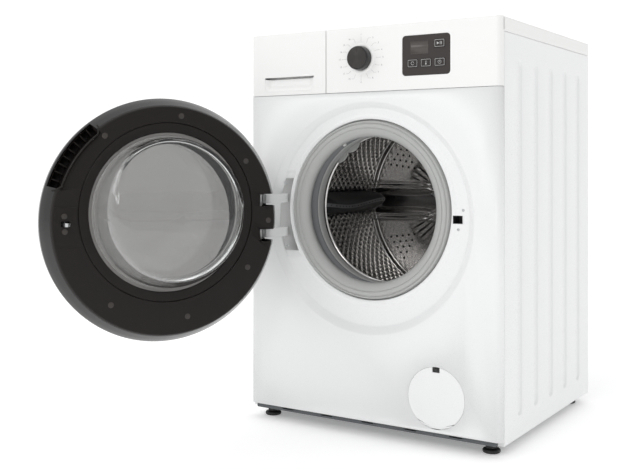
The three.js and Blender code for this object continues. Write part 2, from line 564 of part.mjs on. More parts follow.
function doorFrame() {
  const face = turnY([[0, DOOR_FACE_Y], [DOOR_FACE_R, DOOR_FACE_Y], [229.2, -2.6], [226.8, -2.6],
    [224.4, 1.3], [0, 1.3]], 0, DOOR_Z, ROUND);
  const inside = turnY([[0, -83.6], [221.2, -80], [234.9, -69.3], [239.4, -51.4], [240.6, -32], [226.5, -3.2],
    [224, 2], [0, 2]], 0, DOOR_Z, ROUND);
  const seat = turnY(closed([[GLASS_SEAT_R + GAP, 2], [GLASS_SEAT_R + GAP, -6.3], [166, -6.3], [166, -9],
    [GLASS_SEAT_R + 3, -9], [GLASS_SEAT_R + 3, 2]]), 0, AXIS_Z, ROUND);
  const cheeks = ARM_Z.flatMap((z) => [[z - 9, z - 3.4], [z + ARM_H + 3.4, z + ARM_H + 9]])
    .map(([lo, hi]) => block(-245, PIVOT_X + 30, PIVOT_Y - 6, 2, lo, hi).intersect(inside));
  const wall = 2;
  const cup = sectorY(GRIP.r0 - wall, GRIP.r1 + wall, GRIP.floor - wall, 2, 0, DOOR_Z,
    GRIP.a0 - 1, GRIP.a1 + 1, HIDDEN).intersect(inside);
  let body = join(cut(face, rodY(GLASS_SEAT_R + GAP, -5, 8, 0, AXIS_Z, ROUND)), seat, cheeks, cup);
  const grip = sectorY(GRIP.r0, GRIP.r1, GRIP.floor, 8, 0, DOOR_Z, GRIP.a0, GRIP.a1, HIDDEN);
  const { x, z } = LATCH;
  body = cut(body, armSlots(), grip, block(x - 9, x + 8, -20, 8, z - 8, z + 8),
    rodZ(PIN_R, ARM_Z[0] - 11, ARM_Z[1] + 30, PIVOT_X, PIVOT_Y));
  const pad = [z - 11, z + 8].map((low) => block(x - 8, x + 9, -18, 2, low, low + 3));
  body = cut(join(body, pad), rodZ(bore(HOOK_PIN_R), z - 12, z + 12, x + 2, HOOK_Y));
  make('door_inner_frame', openDoor(body), 0x252220, 0.35, 0.0);
  const ring = turnY(closed([[GLASS_SHOW_R, 2.6], [GLASS_SHOW_R + 2, DOOR_FACE_Y],
    [GLASS_SEAT_R - 1, DOOR_FACE_Y], [GLASS_SEAT_R, 3.4], [GLASS_SEAT_R, -1.7], [GLASS_SHOW_R, -1.7]]),
    0, AXIS_Z, ROUND);
  make('door_glass_ring', openDoor(ring), 0x2b2827, 0.35, 0.0);
}

function doorGlass() {
  const t = GLASS_T;
  const deep = GLASS_DEEP;
  const outer = turnY([[0, -6], [172, -6], [172, -2], [GLASS_R, -2], [GLASS_R - 0.8, 16],
    [GLASS_R - 5.4, 40], [GLASS_R - 22, deep - 7], [GLASS_R - 32, deep - 1], [0, deep]], 0, AXIS_Z, ROUND);
  const inner = turnY([[0, -8], [GLASS_R - t, -8], [GLASS_R - t - 0.8, 15], [GLASS_R - t - 5.4, 38],
    [GLASS_R - t - 22, deep - t - 6], [GLASS_R - t - 32, deep - t - 1], [0, deep - t]], 0, AXIS_Z, ROUND);
  const wedge = (lift) => {
    const section = outline([[8 + lift, deep + 7], [8 + lift, deep - 2 - lift * 0.8],
      [GLASS_R + 20, 24 - lift * 1.1], [GLASS_R + 20, deep + 7]]);
    const e = new THREE.ExtrudeGeometry(section, { depth: 400, bevelEnabled: false });
    e.applyMatrix4(new THREE.Matrix4().makeBasis(new THREE.Vector3(0, 0, 1), new THREE.Vector3(0, 1, 0),
      new THREE.Vector3(1, 0, 0)));
    e.translate(-200, 0, AXIS_Z);
    return solid(e);
  };
  const body = cut(cut(outer, wedge(0)), cut(inner, wedge(-t)));
  make('door_glass', openDoor(body), 0xbfc9cc, 0.05, 0.0);
}

function doorHook() {
  const { x, z } = LATCH;
  const plan = outline([[x, -17], [x + 5, -17], [x + 5, 30], [x + 2, 33], [x - 5.5, 27], [x - 5.5, 24],
    [x, 24]]);
  const body = join(slabZ(plan, z - HOOK_T - 0.5, z - 0.5),
    rodZ(HOOK_PIN_R - RUN, z - 10.8, z + 10.8, x + 2, HOOK_Y));
  make('door_hook', openDoor(body), 0xc9cbcd, 0.3, 0.8);
  const pin = rodZ(PIN_R - RUN, ARM_Z[0] - 7, ARM_Z[1] + ARM_H + 6, PIVOT_X, PIVOT_Y);
  make('hinge_pin', openDoor(pin), 0xb9bbbd, 0.3, 0.9);
}

// ---- suspended tub ----
function gasket() {
  const profile = [[187.6, 9], [187.6, 30], [184, 30], [184, 12.5], [176, 9], [162, 13.6], [157, 22],
    [158, 40], [181, 60], [181, 80], [COLLAR_R + 1.2, 80], [COLLAR_R + 1.2, 61.4],
    [154.4, 43], [MOUTH_R, 18], [158, 9.6], [172, 5.1], [184, 6]];
  make('door_gasket', turnY(closed(profile), 0, AXIS_Z, ROUND), 0xa9abab, 0.6, 0.0);
}

function tubFront() {
  const r = TUB_R - TUB_WALL;
  const [f, s] = [TUB_FRONT, TUB_SPLIT];
  const shell = turnY(closed([[COLLAR_R - 4, 62], [COLLAR_R, 62], [COLLAR_R, f], [TUB_R - 8, f],
    [TUB_R, f + 8], [TUB_R, s - 10], [TUB_R + 8, s - 10], [TUB_R + 8, s], [r, s], [r, f + 9], [r - 6, f + 4],
    [COLLAR_R - 4, f + 4]]), 0, AXIS_Z, HIDDEN);
  const sump = block(-50, 50, f, 285, 193, 225);
  const { x: dx, y: dy, top } = DAMPER;
  const lugs = [-1, 1].map((side) => block(side * dx - 10, side * dx + 10, dy - 12, dy + 12, top + GAP, 290));
  const inlet = pipeZ(INLET.bore, INLET.r, 670, 702, FILL.x, FILL.y);
  const spout = pipeZ(SUMP.bore, SUMP.r, 175, 200, 0, SUMP.y, HIDDEN);
  const cavity = turnY([[0, f + 5], [r - 6, f + 5], [r, f + 10], [r, s + 5], [0, s + 5]], 0, AXIS_Z, HIDDEN);
  let body = join(shell, cut(join(sump, lugs, inlet), cavity), spout);
  body = cut(body, block(-45, 45, f + 5, 280, 198, 240), rodZ(INLET.bore, 660, 710, FILL.x, FILL.y),
    rodZ(SUMP.bore, 170, 205, 0, SUMP.y, HIDDEN), block(-27, 27, f - 2, f + 8, 201, 218));
  make('tub_front', body, 0xcfd2d3, 0.55, 0.0);
}

function tubRear() {
  const r = TUB_R - TUB_WALL;
  const [s, b] = [TUB_SPLIT + GAP, TUB_BACK];
  const shell = turnY(closed([[48, b - 5], [r, b - 5], [r, s], [TUB_R + 8, s], [TUB_R + 8, s + 10],
    [TUB_R, s + 10], [TUB_R, b - 6], [TUB_R - 6, b], [48, b]]), 0, AXIS_Z, HIDDEN);
  const seat = BEARING_R + 0.1;
  const hub = turnY(closed([[SHAFT_R + 3.5, b - 5], [50, b - 5], [50, b + 20], [46, b + 27], [seat, b + 27],
    [seat, b - 3], [SHAFT_R + 3.5, b - 3]]), 0, AXIS_Z, HIDDEN);
  const ribs = [0, 1, 2, 3, 4, 5, 6, 7].map((i) => block(-4, 4, b - 2, b + 9, 40, TUB_R - 10)
    .rotate([0, i * 45, 0]).translate([0, 0, AXIS_Z]));
  const cavity = rodY(r, s - 5, b - 5, 0, AXIS_Z, HIDDEN);
  const mounts = [375, 470].map((y) => block(MOTOR.x - 16, MOTOR.x + 16, y, y + 12,
    MOTOR.z + MOTOR.r + 4 + GAP, 240));
  const { x, y } = SPRING;
  const eye = cut(block(x - 14, x + 14, y - 12, y + 12, 575, 610), rodZ(4, 560, 620, x, y),
    block(x - 6, x + 15, y - 13, y + 13, 560, 602));
  const lugs = cut(join(mounts, eye, eye.mirror([1, 0, 0])), cavity);
  const body = join(shell, hub, cut(ribs[0], rodY(30, 400, 520, 0, AXIS_Z)), ribs.slice(1), lugs);
  make('tub_rear', body, 0xcfd2d3, 0.55, 0.0);
  make('drum_bearing', pipeY(bore(SHAFT_R, HIDDEN), BEARING_R, b - 2.7, b + 26, 0, AXIS_Z, HIDDEN),
    0x9fa1a3, 0.3, 0.9);
}

function counterweights() {
  make('counterweight_front', turnY(closed([[194, 46], [240, 46], [244, 50], [244, TUB_FRONT - GAP],
    [194, TUB_FRONT - GAP]]), 0, AXIS_Z, HIDDEN), 0x8f8e8a, 0.9, 0.0);
  const body = cut(block(-85, 150, 100, 288, 690, 784), rodY(TUB_R + 0.5, 90, 300, 0, AXIS_Z, HIDDEN),
    block(-20, 85, 140, 250, 775, 790));
  make('counterweight_top', body, 0x8f8e8a, 0.9, 0.0);
}

function heater() {
  const z = 209;
  const loop = hose([[-20, TUB_FRONT - 2, z], [-20, 120, z], [-20, 230, z], [-14, 262, z], [0, 270, z],
    [14, 262, z], [20, 230, z], [20, 120, z], [20, TUB_FRONT - 2, z]], 4, 0, 12, 5);
  const plate = slabY(roundRect(-32, 32, 197, 221, 6), TUB_FRONT - 3, TUB_FRONT - GAP, 3);
  const tabs = [-14, 0, 14].map((x) => block(x - 3, x + 3, 70, 80, z - 0.6, z + 0.6));
  make('heater', join(loop, plate, tabs), 0xa7a9ab, 0.35, 0.9);
}

function drive() {
  const y = BELT_Y;
  const big = PULLEY_R;
  const rim = turnY(closed([[big - 8, y - 3], [big + 3, y - 3], [big, y - 1], [big, y + 11], [big + 3,
    y + 13],
    [big - 8, y + 13]]), 0, AXIS_Z, HIDDEN);
  const spokes = [0, 1, 2, 3, 4].map((i) => block(-8, 8, y, y + 7, 20, PULLEY_R - 5)
    .rotate([0, i * 72, 0]).translate([0, 0, AXIS_Z]));
  const hub = rodY(28, y - 1, y + 12, 0, AXIS_Z, HIDDEN);
  const shaft = rodY(SHAFT_R + RUN, y - 5, y + 20, 0, AXIS_Z, HIDDEN);
  make('drum_pulley', cut(join(rim, spokes, hub), shaft), 0xb4b7b9, 0.45, 0.8);

  const { x, z, r } = MOTOR;
  const can = turnY([[0, 362], [r - 8, 362], [r, 370], [r, 488], [r - 10, 496], [MOTOR.shaft + 0.4, 496],
    [MOTOR.shaft + 0.4, 440], [0, 440]], x, z, 20);
  const ear = cut(block(x - 18, x + 18, 372, 486, z + 20, z + r + 4), rodY(r - 5, 360, 500, x, z, 20));
  make('motor', join(can, ear), 0x85888b, 0.5, 0.6);
  const small = MOTOR_PULLEY_R;
  const rotor = turnY([[0, 445], [MOTOR.shaft, 445], [MOTOR.shaft, y - 2], [small + 2, y - 2],
    [small + 2, y - 0.6], [small, y - 0.6], [small, y + 12], [0, y + 12]], x, z, HIDDEN);
  make('motor_pulley', rotor, 0x9da0a2, 0.4, 0.8);

  const dx = x;
  const dz = z - AXIS_Z;
  const far = Math.hypot(dx, dz);
  const base = Math.atan2(dz, dx);
  const loop = (off) => {
    const bend = Math.acos((PULLEY_R - MOTOR_PULLEY_R) / far);
    const pts = [];
    for (let i = 0; i <= 28; i += 1) {
      const a = base + bend + ((2 * Math.PI - 2 * bend) * i) / 28;
      pts.push([(PULLEY_R + off) * Math.cos(a), AXIS_Z + (PULLEY_R + off) * Math.sin(a)]);
    }
    for (let i = 0; i <= 6; i += 1) {
      const a = base - bend + (2 * bend * i) / 6;
      pts.push([x + (MOTOR_PULLEY_R + off) * Math.cos(a), z + (MOTOR_PULLEY_R + off) * Math.sin(a)]);
    }
    return pts;
  };
  const band = outline(loop(3.6));
  band.holes.push(new THREE.Path(loop(0.6).map(([a, b]) => new THREE.Vector2(a, b))));
  make('drive_belt', slabY(band, y, y + 10), 0x1b1b1b, 0.8, 0.0);
}

function drum() {
  const R = DRUM_R;
  const [f, b, m] = [DRUM_FRONT, DRUM_BACK, DRUM_MOUTH_R];
  const outer = [[0, b - 5], [60, b - 5], [70, b], [R - 5, b], [R, b - 5], [R, f + 9], [R - 6, f + 3],
    [m + 6, f - 1], [m, f + 3]];
  const inner = [[m + 1.2, f + 3.6], [m + 6.4, f + 0.2], [R - 6.4, f + 4.1], [R - 1, f + 9.4],
    [R - 1, b - 5.4], [R - 5.4, b - 1], [70.6, b - 1], [60.6, b - 6], [0, b - 6]];
  make('drum_shell', turnY([...outer, ...inner], 0, AXIS_Z, ROUND), 0xc4c6c7, 0.25, 1.0);
  const arch = [[-1.3, 0], [-1, 0.25], [-0.72, 0.72], [-0.4, 1], [0.4, 1], [0.72, 0.72], [1, 0.25], [1.3, 0]];
  const { base, half: w, y0, y1 } = LIFTER;
  const ring = (y, high, wide) => arch.map(([a, c]) => [c * high - base, y, a * wide]);
  const fin = loft([ring(y0, 20, w - 2), ring(y0 + 16, 54, w - 1), ring((y0 + y1) / 2 + 2, 62, w),
    ring(y1 - 16, 54, w - 1), ring(y1, 20, w - 2)]);
  ['left', 'lower', 'upper'].forEach((name, i) => make(`lifter_${name}`,
    fin.rotate([0, -i * 120, 0]).translate([0, 0, AXIS_Z]), 0x4a4c4e, 0.5, 0.0));
  const arm = slabY(outline([[-24, 20], [24, 20], [13, R - 15], [-13, R - 15]]), b + 1, b + 14);
  const arms = [0, 1, 2].map((i) => arm.rotate([0, 60 + i * 120, 0]).translate([0, 0, AXIS_Z]));
  const hub = turnY([[0, b + 1], [44, b + 1], [36, b + 16], [SHAFT_R, b + 16.8], [SHAFT_R, BELT_Y + 12],
    [0, BELT_Y + 12]], 0, AXIS_Z, HIDDEN);
  make('drum_spider', join(arms, hub), 0xa3a6a8, 0.5, 0.8);
}

function suspension() {
  [-1, 1].forEach((s) => {
    const name = s < 0 ? 'left' : 'right';
    const { x, y } = SPRING;
    const pts = [[s * x + 6, y, 800], [s * x + 1, y, 799], [s * x, y, 790], [s * x, y, 776]];
    const [z0, z1, turns, n] = [640, 770, 5, 7];
    for (let i = 0; i <= turns * n; i += 1) {
      const a = (2 * Math.PI * i) / n;
      pts.push([s * x + 11 * Math.cos(a), y + 11 * Math.sin(a), z1 - ((z1 - z0) * i) / (turns * n)]);
    }
    pts.push([s * x, y, 633], [s * x, y, 612], [s * x, y, 602], [s * x + s * 3, y, 598]);
    make(`spring_${name}`, hose(pts, 1.8, 0, 46, 4), 0x8d9092, 0.4, 0.9);
    const { x: dx, y: dy, r, top } = DAMPER;
    const z = SIDE_BASE_Z + 8 + GAP;
    make(`damper_tube_${name}`, turnZ([[0, z], [18, z], [18, z + 6], [r + 4, z + 10], [r + 4, 185], [r, 185],
      [r, z + 12], [0, z + 12]], s * dx, dy), 0x3b3d3f, 0.5, 0.1);
    make(`damper_rod_${name}`, turnZ([[0, 62], [r - 0.15, 62], [r - 0.15, 140], [6, 142], [6, top - 10],
      [10, top - 8], [10, top], [0, top]], s * dx, dy), 0xc9cbcc, 0.4, 0.2);
  });
}

// ---- water path ----
function water() {
  const { x, z, r } = FILTER;
  make('filter_flap', cut(rodY(r - GAP, 0, 2.4, x, z, ROUND),
    block(x - 2 * r, x + 2 * r, -1, 5, z - 2 * r, z - r + 2.2),
    block(x - 8, x + 8, -1, 5, z + r - 11, z + r + 8)), 0xf1f2f2, 0.35, 0.0);
  const cap = turnY([[0, 20], [34.2, 20], [34.2, 34], [30, 34], [30, 60], [0, 60]], x, z, 20);
  make('filter_cap', join(cap, block(x - 26, x + 26, 9, 21, z - 4, z + 4)), 0x3f7fa8, 0.5, 0.0);
  let pump = turnY([[0, 146], [35, 146], [35, 18], [40, 18], [40, 122], [48, 124], [48, 150], [30, 154],
    [30, 205], [0, 205]], x, z, 20);
  pump = join(pump, turnX(13, 16, x - 50, x - 34, 90, z), turnX(8, 11, x + 34, x + 62, 135, z + 12));
  pump = cut(pump, turnX(0, 13, x - 55, x - 30, 90, z), turnX(0, 8, x + 30, x + 66, 135, z + 12));
  const foot = cut(block(x - 24, x + 24, 60, 140, SIDE_BASE_Z + 3 + GAP, z - 38), rodY(37, 0, 200, x, z, 20));
  make('drain_pump', join(pump, foot), 0x55585a, 0.6, 0.0);
  make('sump_hose', hose([[0, SUMP.y, 175 - GAP], [0, SUMP.y, 150], [14, 132, 118], [52, 100, 101],
    [90, 90.5, z], [x - 50.5, 90, z]], SUMP.r, SUMP.bore, 8, 8), 0x1f1f1f, 0.8, 0.0);
  const { x: ox, z: oz, r: hole, bore: clear } = DRAIN;
  const outlet = turnY(closed([[clear, 520], [hole - 1.3, 520], [hole - 1.3, DEPTH + GAP], [16, DEPTH + GAP],
    [16, DEPTH + 3], [12, DEPTH + 4], [11, DEPTH + 16], [clear, DEPTH + 16]]), ox, oz, SMALL);
  const inner = hose([[x + 62.5, 135, z + 12], [x + 76, 135, z + 12], [256, 165, 122], [264, 230, 140],
    [264, 400, 165], [ox + 5, 490, oz], [ox, 524, oz]], 11, clear, 10, 6);
  make('drain_hose', cut(join(inner, outlet), rodY(clear, 518, DEPTH + 20, ox, oz)), 0x4b4e50, 0.7, 0.0);
  const { x: vx, z: vz, r: port } = VALVE;
  const valve = join(block(vx - 18, vx + 18, 498, DEPTH - SHEET - GAP, vz - 20, vz + 20),
    rodY(port - 1, 535, DEPTH + 14, vx, vz), rodY(6.5, 480, 500, vx, vz),
    block(vx - 14, vx + 14, 506, 534, vz + 19, vz + 36));
  make('inlet_valve', valve, 0xd9d9d4, 0.5, 0.0);
  const snug = INLET.r + 0.4;
  make('fill_hose', turnZ(closed([[snug, 697], [23, 697], [26, 701], [22.6, 704], [26, 707], [22.6, 710],
    [26, 713], [23, 716], [snug, 716]]), FILL.x, FILL.y), 0x2a2a2a, 0.8, 0.0);
  const neck = GLAND.r - 0.4;
  make('cord_gland', turnY(closed([[4.5, DEPTH - 10], [neck, DEPTH - 10], [neck, DEPTH + GAP],
    [14, DEPTH + GAP], [14, DEPTH + 4], [8, DEPTH + 12], [4.5, DEPTH + 12]]), GLAND.x, GLAND.z, SMALL),
  0x202020, 0.7, 0.0);
}

frontPanel();
sidePanel(-1);
sidePanel(1);
rearPanel();
worktop();
baseFrame();
feet();
fascia();
displayWindow();
buttons();
controlBoard();
knob();
drawer();
hingeBracket();
doorLock();
doorCover();
doorFrame();
doorGlass();
doorHook();
gasket();
tubFront();
tubRear();
counterweights();
heater();
drive();
drum();
suspension();
water();

export default group;
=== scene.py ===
import json
import math
import bmesh
import bpy
from mathutils import Matrix, Vector

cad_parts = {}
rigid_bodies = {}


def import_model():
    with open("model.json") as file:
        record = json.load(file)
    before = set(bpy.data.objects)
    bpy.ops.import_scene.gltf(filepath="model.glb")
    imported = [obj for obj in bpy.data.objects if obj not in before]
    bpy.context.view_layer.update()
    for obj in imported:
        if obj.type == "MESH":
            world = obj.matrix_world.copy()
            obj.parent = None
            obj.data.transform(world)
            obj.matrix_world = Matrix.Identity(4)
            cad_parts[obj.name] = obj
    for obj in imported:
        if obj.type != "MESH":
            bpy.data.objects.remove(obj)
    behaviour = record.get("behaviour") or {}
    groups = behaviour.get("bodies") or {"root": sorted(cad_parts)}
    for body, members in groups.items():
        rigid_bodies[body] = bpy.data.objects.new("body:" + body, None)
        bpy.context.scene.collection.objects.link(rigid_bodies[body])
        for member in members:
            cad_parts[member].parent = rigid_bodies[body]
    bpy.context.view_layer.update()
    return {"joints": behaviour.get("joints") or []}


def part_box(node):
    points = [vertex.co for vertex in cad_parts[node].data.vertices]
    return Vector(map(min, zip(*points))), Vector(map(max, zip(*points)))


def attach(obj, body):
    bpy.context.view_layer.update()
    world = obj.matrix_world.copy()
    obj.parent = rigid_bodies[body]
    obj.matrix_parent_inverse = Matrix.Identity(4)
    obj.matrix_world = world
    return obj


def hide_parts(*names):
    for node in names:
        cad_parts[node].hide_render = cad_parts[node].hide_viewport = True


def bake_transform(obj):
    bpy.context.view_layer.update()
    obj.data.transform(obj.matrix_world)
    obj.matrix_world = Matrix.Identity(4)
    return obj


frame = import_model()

# ---- front panel ----
# One deep drawn sheet of 0.8 mm steel with a white powder coat. A dished seat for the door is pressed into
# it, its porthole edge is turned inward to hold the gasket, and both side edges fold round the corners.
MM = 0.001
panel_low, panel_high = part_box("front_panel")
side_x = panel_high.x
front_y = panel_low.y
panel_base, panel_top = panel_low.z, panel_high.z
corner_r = 13 * MM
wrap = 15.7 * MM
axis_z = (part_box("drum_shell")[0].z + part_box("drum_shell")[1].z) / 2
door_z = 452 * MM
flap_low, flap_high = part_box("filter_flap")
flap_r = (flap_high.x - flap_low.x) / 2 + 0.3 * MM
flap_x, flap_z = (flap_low.x + flap_high.x) / 2, flap_high.z - flap_r + 0.3 * MM


def linear(code):
    """A six-digit sRGB colour as linear red, green, blue and alpha 1."""
    parts = [int(code[i:i + 2], 16) / 255 for i in (0, 2, 4)]
    return (*[c / 12.92 if c <= 0.04045 else ((c + 0.055) / 1.055) ** 2.4 for c in parts], 1)


def node(tree, kind, settings=None, **links):
    """Adds a node. A pair (node, output) is linked to the input of that name; anything else is its value."""
    made = tree.nodes.new("ShaderNode" + kind)
    for key, value in (settings or {}).items():
        setattr(made, key, value)
    for key, value in links.items():
        numbered = key[0] == "i" and key[1:].isdigit()
        socket = made.inputs[int(key[1:])] if numbered else made.inputs[key.replace("_", " ")]
        if isinstance(value, tuple) and len(value) == 2 and hasattr(value[0], "outputs"):
            tree.links.new(value[0].outputs[value[1]], socket)
        else:
            socket.default_value = value
    return made


def finish_of(name, colour, roughness, metallic=0.0, **sockets):
    """A principled material with constant values on the shader's own sockets."""
    made = bpy.data.materials.new(name)
    made.use_nodes = True
    shader = made.node_tree.nodes["Principled BSDF"]
    shader.inputs["Base Color"].default_value = linear(colour)
    shader.inputs["Roughness"].default_value = roughness
    shader.inputs["Metallic"].default_value = metallic
    for key, value in sockets.items():
        shader.inputs[key.replace("_", " ")].default_value = value
    return made


def grain(material, size_mm, height_mm, rough=(), stretch=(1, 1, 1)):
    """Bumps of a real size and height over a material, and roughness between two values where given."""
    tree = material.node_tree
    shader = tree.nodes["Principled BSDF"]
    place = node(tree, "TexCoord")
    scaled = node(tree, "Mapping", Vector=(place, "Object"), Scale=stretch)
    noise = node(tree, "TexNoise", Vector=(scaled, "Vector"), Scale=1 / (size_mm * MM), Detail=3.0)
    bump = node(tree, "Bump", Height=(noise, "Fac"), Distance=height_mm * MM, Strength=0.5)
    tree.links.new(bump.outputs["Normal"], shader.inputs["Normal"])
    if rough:
        spread = node(tree, "MapRange", Value=(noise, "Fac"), From_Min=0.35, From_Max=0.65,
                      To_Min=rough[0], To_Max=rough[1])
        tree.links.new(spread.outputs["Result"], shader.inputs["Roughness"])
    return material


# Powder coat is a baked polyester skin: smooth, with a faint orange peel about 1.6 mm across.
powder_coat = grain(finish_of("powder_coat_white", "EFF0F0", 0.32, IOR=1.5), 1.6, 0.02, (0.26, 0.34))


def mesh_piece(name, points, faces, material, sharp=32):
    """An object from points and faces, smooth but for edges sharper than the angle."""
    data = bpy.data.meshes.new(name)
    data.from_pydata(points, [], faces)
    bm = bmesh.new()
    bm.from_mesh(data)
    bmesh.ops.remove_doubles(bm, verts=bm.verts, dist=2e-6)
    bmesh.ops.recalc_face_normals(bm, faces=bm.faces)
    bm.to_mesh(data)
    bm.free()
    data.polygons.foreach_set("use_smooth", [True] * len(data.polygons))
    data.set_sharp_from_angle(angle=math.radians(sharp))
    data.materials.append(material)
    made = bpy.data.objects.new(name, data)
    bpy.context.scene.collection.objects.link(made)
    return made


def settle(piece):
    """Turns a piece's modifiers into its mesh."""
    shape = bpy.data.meshes.new_from_object(piece.evaluated_get(bpy.context.evaluated_depsgraph_get()))
    piece.modifiers.clear()
    piece.data = shape
    return piece


def thicken(piece, depth, side=-1):
    """Gives an open skin the thickness of its sheet."""
    skin = piece.modifiers.new("sheet", "SOLIDIFY")
    skin.thickness = depth
    skin.offset = side
    skin.use_even_offset = True
    return settle(piece)


def soften(piece, width, segments=2, angle=38):
    """Rounds the sharp edges."""
    edge = piece.modifiers.new("edges", "BEVEL")
    edge.width = width
    edge.segments = segments
    edge.limit_method = "ANGLE"
    edge.angle_limit = math.radians(angle)
    edge.harden_normals = True
    return piece


def carve(piece, *cutters, join=False):
    """Cuts the cutters out of a piece, or joins them to it."""
    for cutter in cutters:
        step = piece.modifiers.new("cut", "BOOLEAN")
        step.operation = "UNION" if join else "DIFFERENCE"
        step.solver = "EXACT"
        step.object = cutter
        settle(piece)
        bpy.data.objects.remove(cutter)
    return piece


def fit(piece, body, nodes):
    """Rides a piece on its body and stands it for its solids."""
    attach(piece, body)
    if nodes:
        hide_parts(*nodes)
    return piece


def turned(profile, steps, x=0.0, z=None, start=0.0, sweep=360.0):
    """A profile of radius, depth behind the front and rise, in millimetres, turned about a line along Y."""
    full = abs(sweep - 360) < 1e-6
    count = steps if full else steps + 1
    points, faces = [], []
    for radius, depth, *rise in profile:
        height = (axis_z if z is None else z) + (rise[0] if rise else 0) * MM
        for k in range(count):
            a = math.radians(start + sweep * k / steps)
            points.append((x + radius * MM * math.cos(a), front_y + depth * MM,
                           height + radius * MM * math.sin(a)))
    for row in range(len(profile) - 1):
        for k in range(steps):
            nxt = (k + 1) % count
            faces.append((row * count + k, row * count + nxt, (row + 1) * count + nxt,
                          (row + 1) * count + k))
    return points, faces


def plate(outline, holes, y):
    """Points and faces of a flat sheet in X and Z with holes in it."""
    bm = bmesh.new()
    for loop in [outline, *holes]:
        corners = [bm.verts.new((px, y, pz)) for px, pz in loop]
        for a, b in zip(corners, corners[1:] + corners[:1]):
            bm.edges.new((a, b))
    bmesh.ops.triangle_fill(bm, edges=bm.edges[:], use_beauty=True, use_dissolve=False)
    bm.verts.index_update()
    points = [tuple(v.co) for v in bm.verts]
    faces = [tuple(v.index for v in f.verts) for f in bm.faces]
    bm.free()
    return points, faces


def circle(x, z, r, steps=96):
    return [(x + r * math.cos(2 * math.pi * k / steps), z + r * math.sin(2 * math.pi * k / steps))
            for k in range(steps)]


def rounded(x0, x1, z0, z1, r, steps=6):
    """Corner points of a rectangle with rounded corners."""
    loop = []
    for cx, cz, turn in ((x1 - r, z0 + r, -90), (x1 - r, z1 - r, 0), (x0 + r, z1 - r, 90),
                         (x0 + r, z0 + r, 180)):
        for k in range(steps + 1):
            a = math.radians(turn + 90 * k / steps)
            loop.append((cx + r * math.cos(a), cz + r * math.sin(a)))
    return loop


def gather(*parts):
    """Several lists of points and faces as one."""
    points, faces = [], []
    for some_points, some_faces in parts:
        base = len(points)
        points += list(some_points)
        faces += [tuple(base + i for i in f) for f in some_faces]
    return points, faces


def corner_fold(side, z0, z1):
    """The rounded vertical corner of a front piece and the flange behind it."""
    steps = 10
    line = [(side * (side_x - corner_r * (1 - math.sin(math.radians(90 * k / steps)))),
             front_y + corner_r * (1 - math.cos(math.radians(90 * k / steps)))) for k in range(steps + 1)]
    line.append((side * side_x, front_y + wrap))
    points = [(x, y, z) for z in (z0, z1) for x, y in line]
    n = len(line)
    return points, [(k, k + 1, n + k + 1, n + k) for k in range(n - 1)]


def box(x0, x1, y0, y1, z0, z1):
    points = [(x, y, z) for x in (x0, x1) for y in (y0, y1) for z in (z0, z1)]
    return points, [(0, 1, 3, 2), (4, 6, 7, 5), (0, 4, 5, 1), (2, 3, 7, 6), (0, 2, 6, 4), (1, 5, 7, 3)]


def front_panel():
    flat = side_x - corner_r
    seat_edge = 243 * MM
    outline = [(-flat, panel_base), (flat, panel_base), (flat, panel_top), (-flat, panel_top)]
    sheet = plate(outline, [circle(0, door_z, seat_edge, 384), circle(flap_x, flap_z, flap_r)], front_y)
    floor = 12
    shoulder = [(243, 0), (241.6, 0.3), (240, 1.2), (229.6, 10, 1.8), (228, 11.5, 2.2), (226, floor, 2.4)]
    inner = [(r, floor, 2.4 + 14.6 * (226 - r) / 26) for r in (222, 217, 211, 206, 202, 200)]
    lip = [(198.6, 11.7, 17), (197.2, 10.6, 17), (196, 10.3, 17), (191.5, 10.3, 17), (189.6, 10.8, 17),
           (188.5, 12.4, 17), (188.2, 15, 17), (188.2, 26, 17)]
    floor_y = front_y + floor * MM
    points, faces = turned(shoulder + inner + lip, 384, 0, door_z)
    pocket = []
    for x, y, z in points:
        level = min(max((z - 362 * MM) / (5 * MM), 0), 1) * min(max((550 * MM - z) / (5 * MM), 0), 1)
        away = math.hypot(x, z - axis_z)
        inward = 227 * MM - math.hypot(x, z - door_z)
        reach = min(max((away - 199 * MM) / (2.5 * MM), 0), 1) * min(max(inward / (2 * MM), 0), 1)
        pocket.append((x, y + (3.4 * MM * level * reach if x < 0 and y > floor_y - 1 * MM else 0), z))
    folds = [corner_fold(s, panel_base, panel_top) for s in (-1, 1)]
    made = mesh_piece("front_panel_sheet", *gather(sheet, (pocket, faces), *folds), powder_coat)
    thicken(made, 1.0 * MM)
    lock_low, lock_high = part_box("door_lock")
    z = (lock_low.z + lock_high.z) / 2
    slot = box(192 * MM, 212 * MM, front_y, front_y + 30 * MM, z - 8 * MM, z + 8 * MM)
    carve(made, mesh_piece("slot_cutter", *slot, powder_coat))
    return fit(made, "cabinet", ["front_panel"])


front_panel()

# ---- side panels ----
# Galvanised sheet with the same coat. Five long grooves pressed inward stop each side from drumming; its
# edges are folded in behind the front panel and the rear panel.
groove_depth = 3.8 * MM
groove_half = 14.2 * MM
side_low, side_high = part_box("side_panel_right")
groove_ends = (77 * MM, 757 * MM)
groove_lines = [front_y + (98 + 91.5 * i) * MM for i in range(5)]


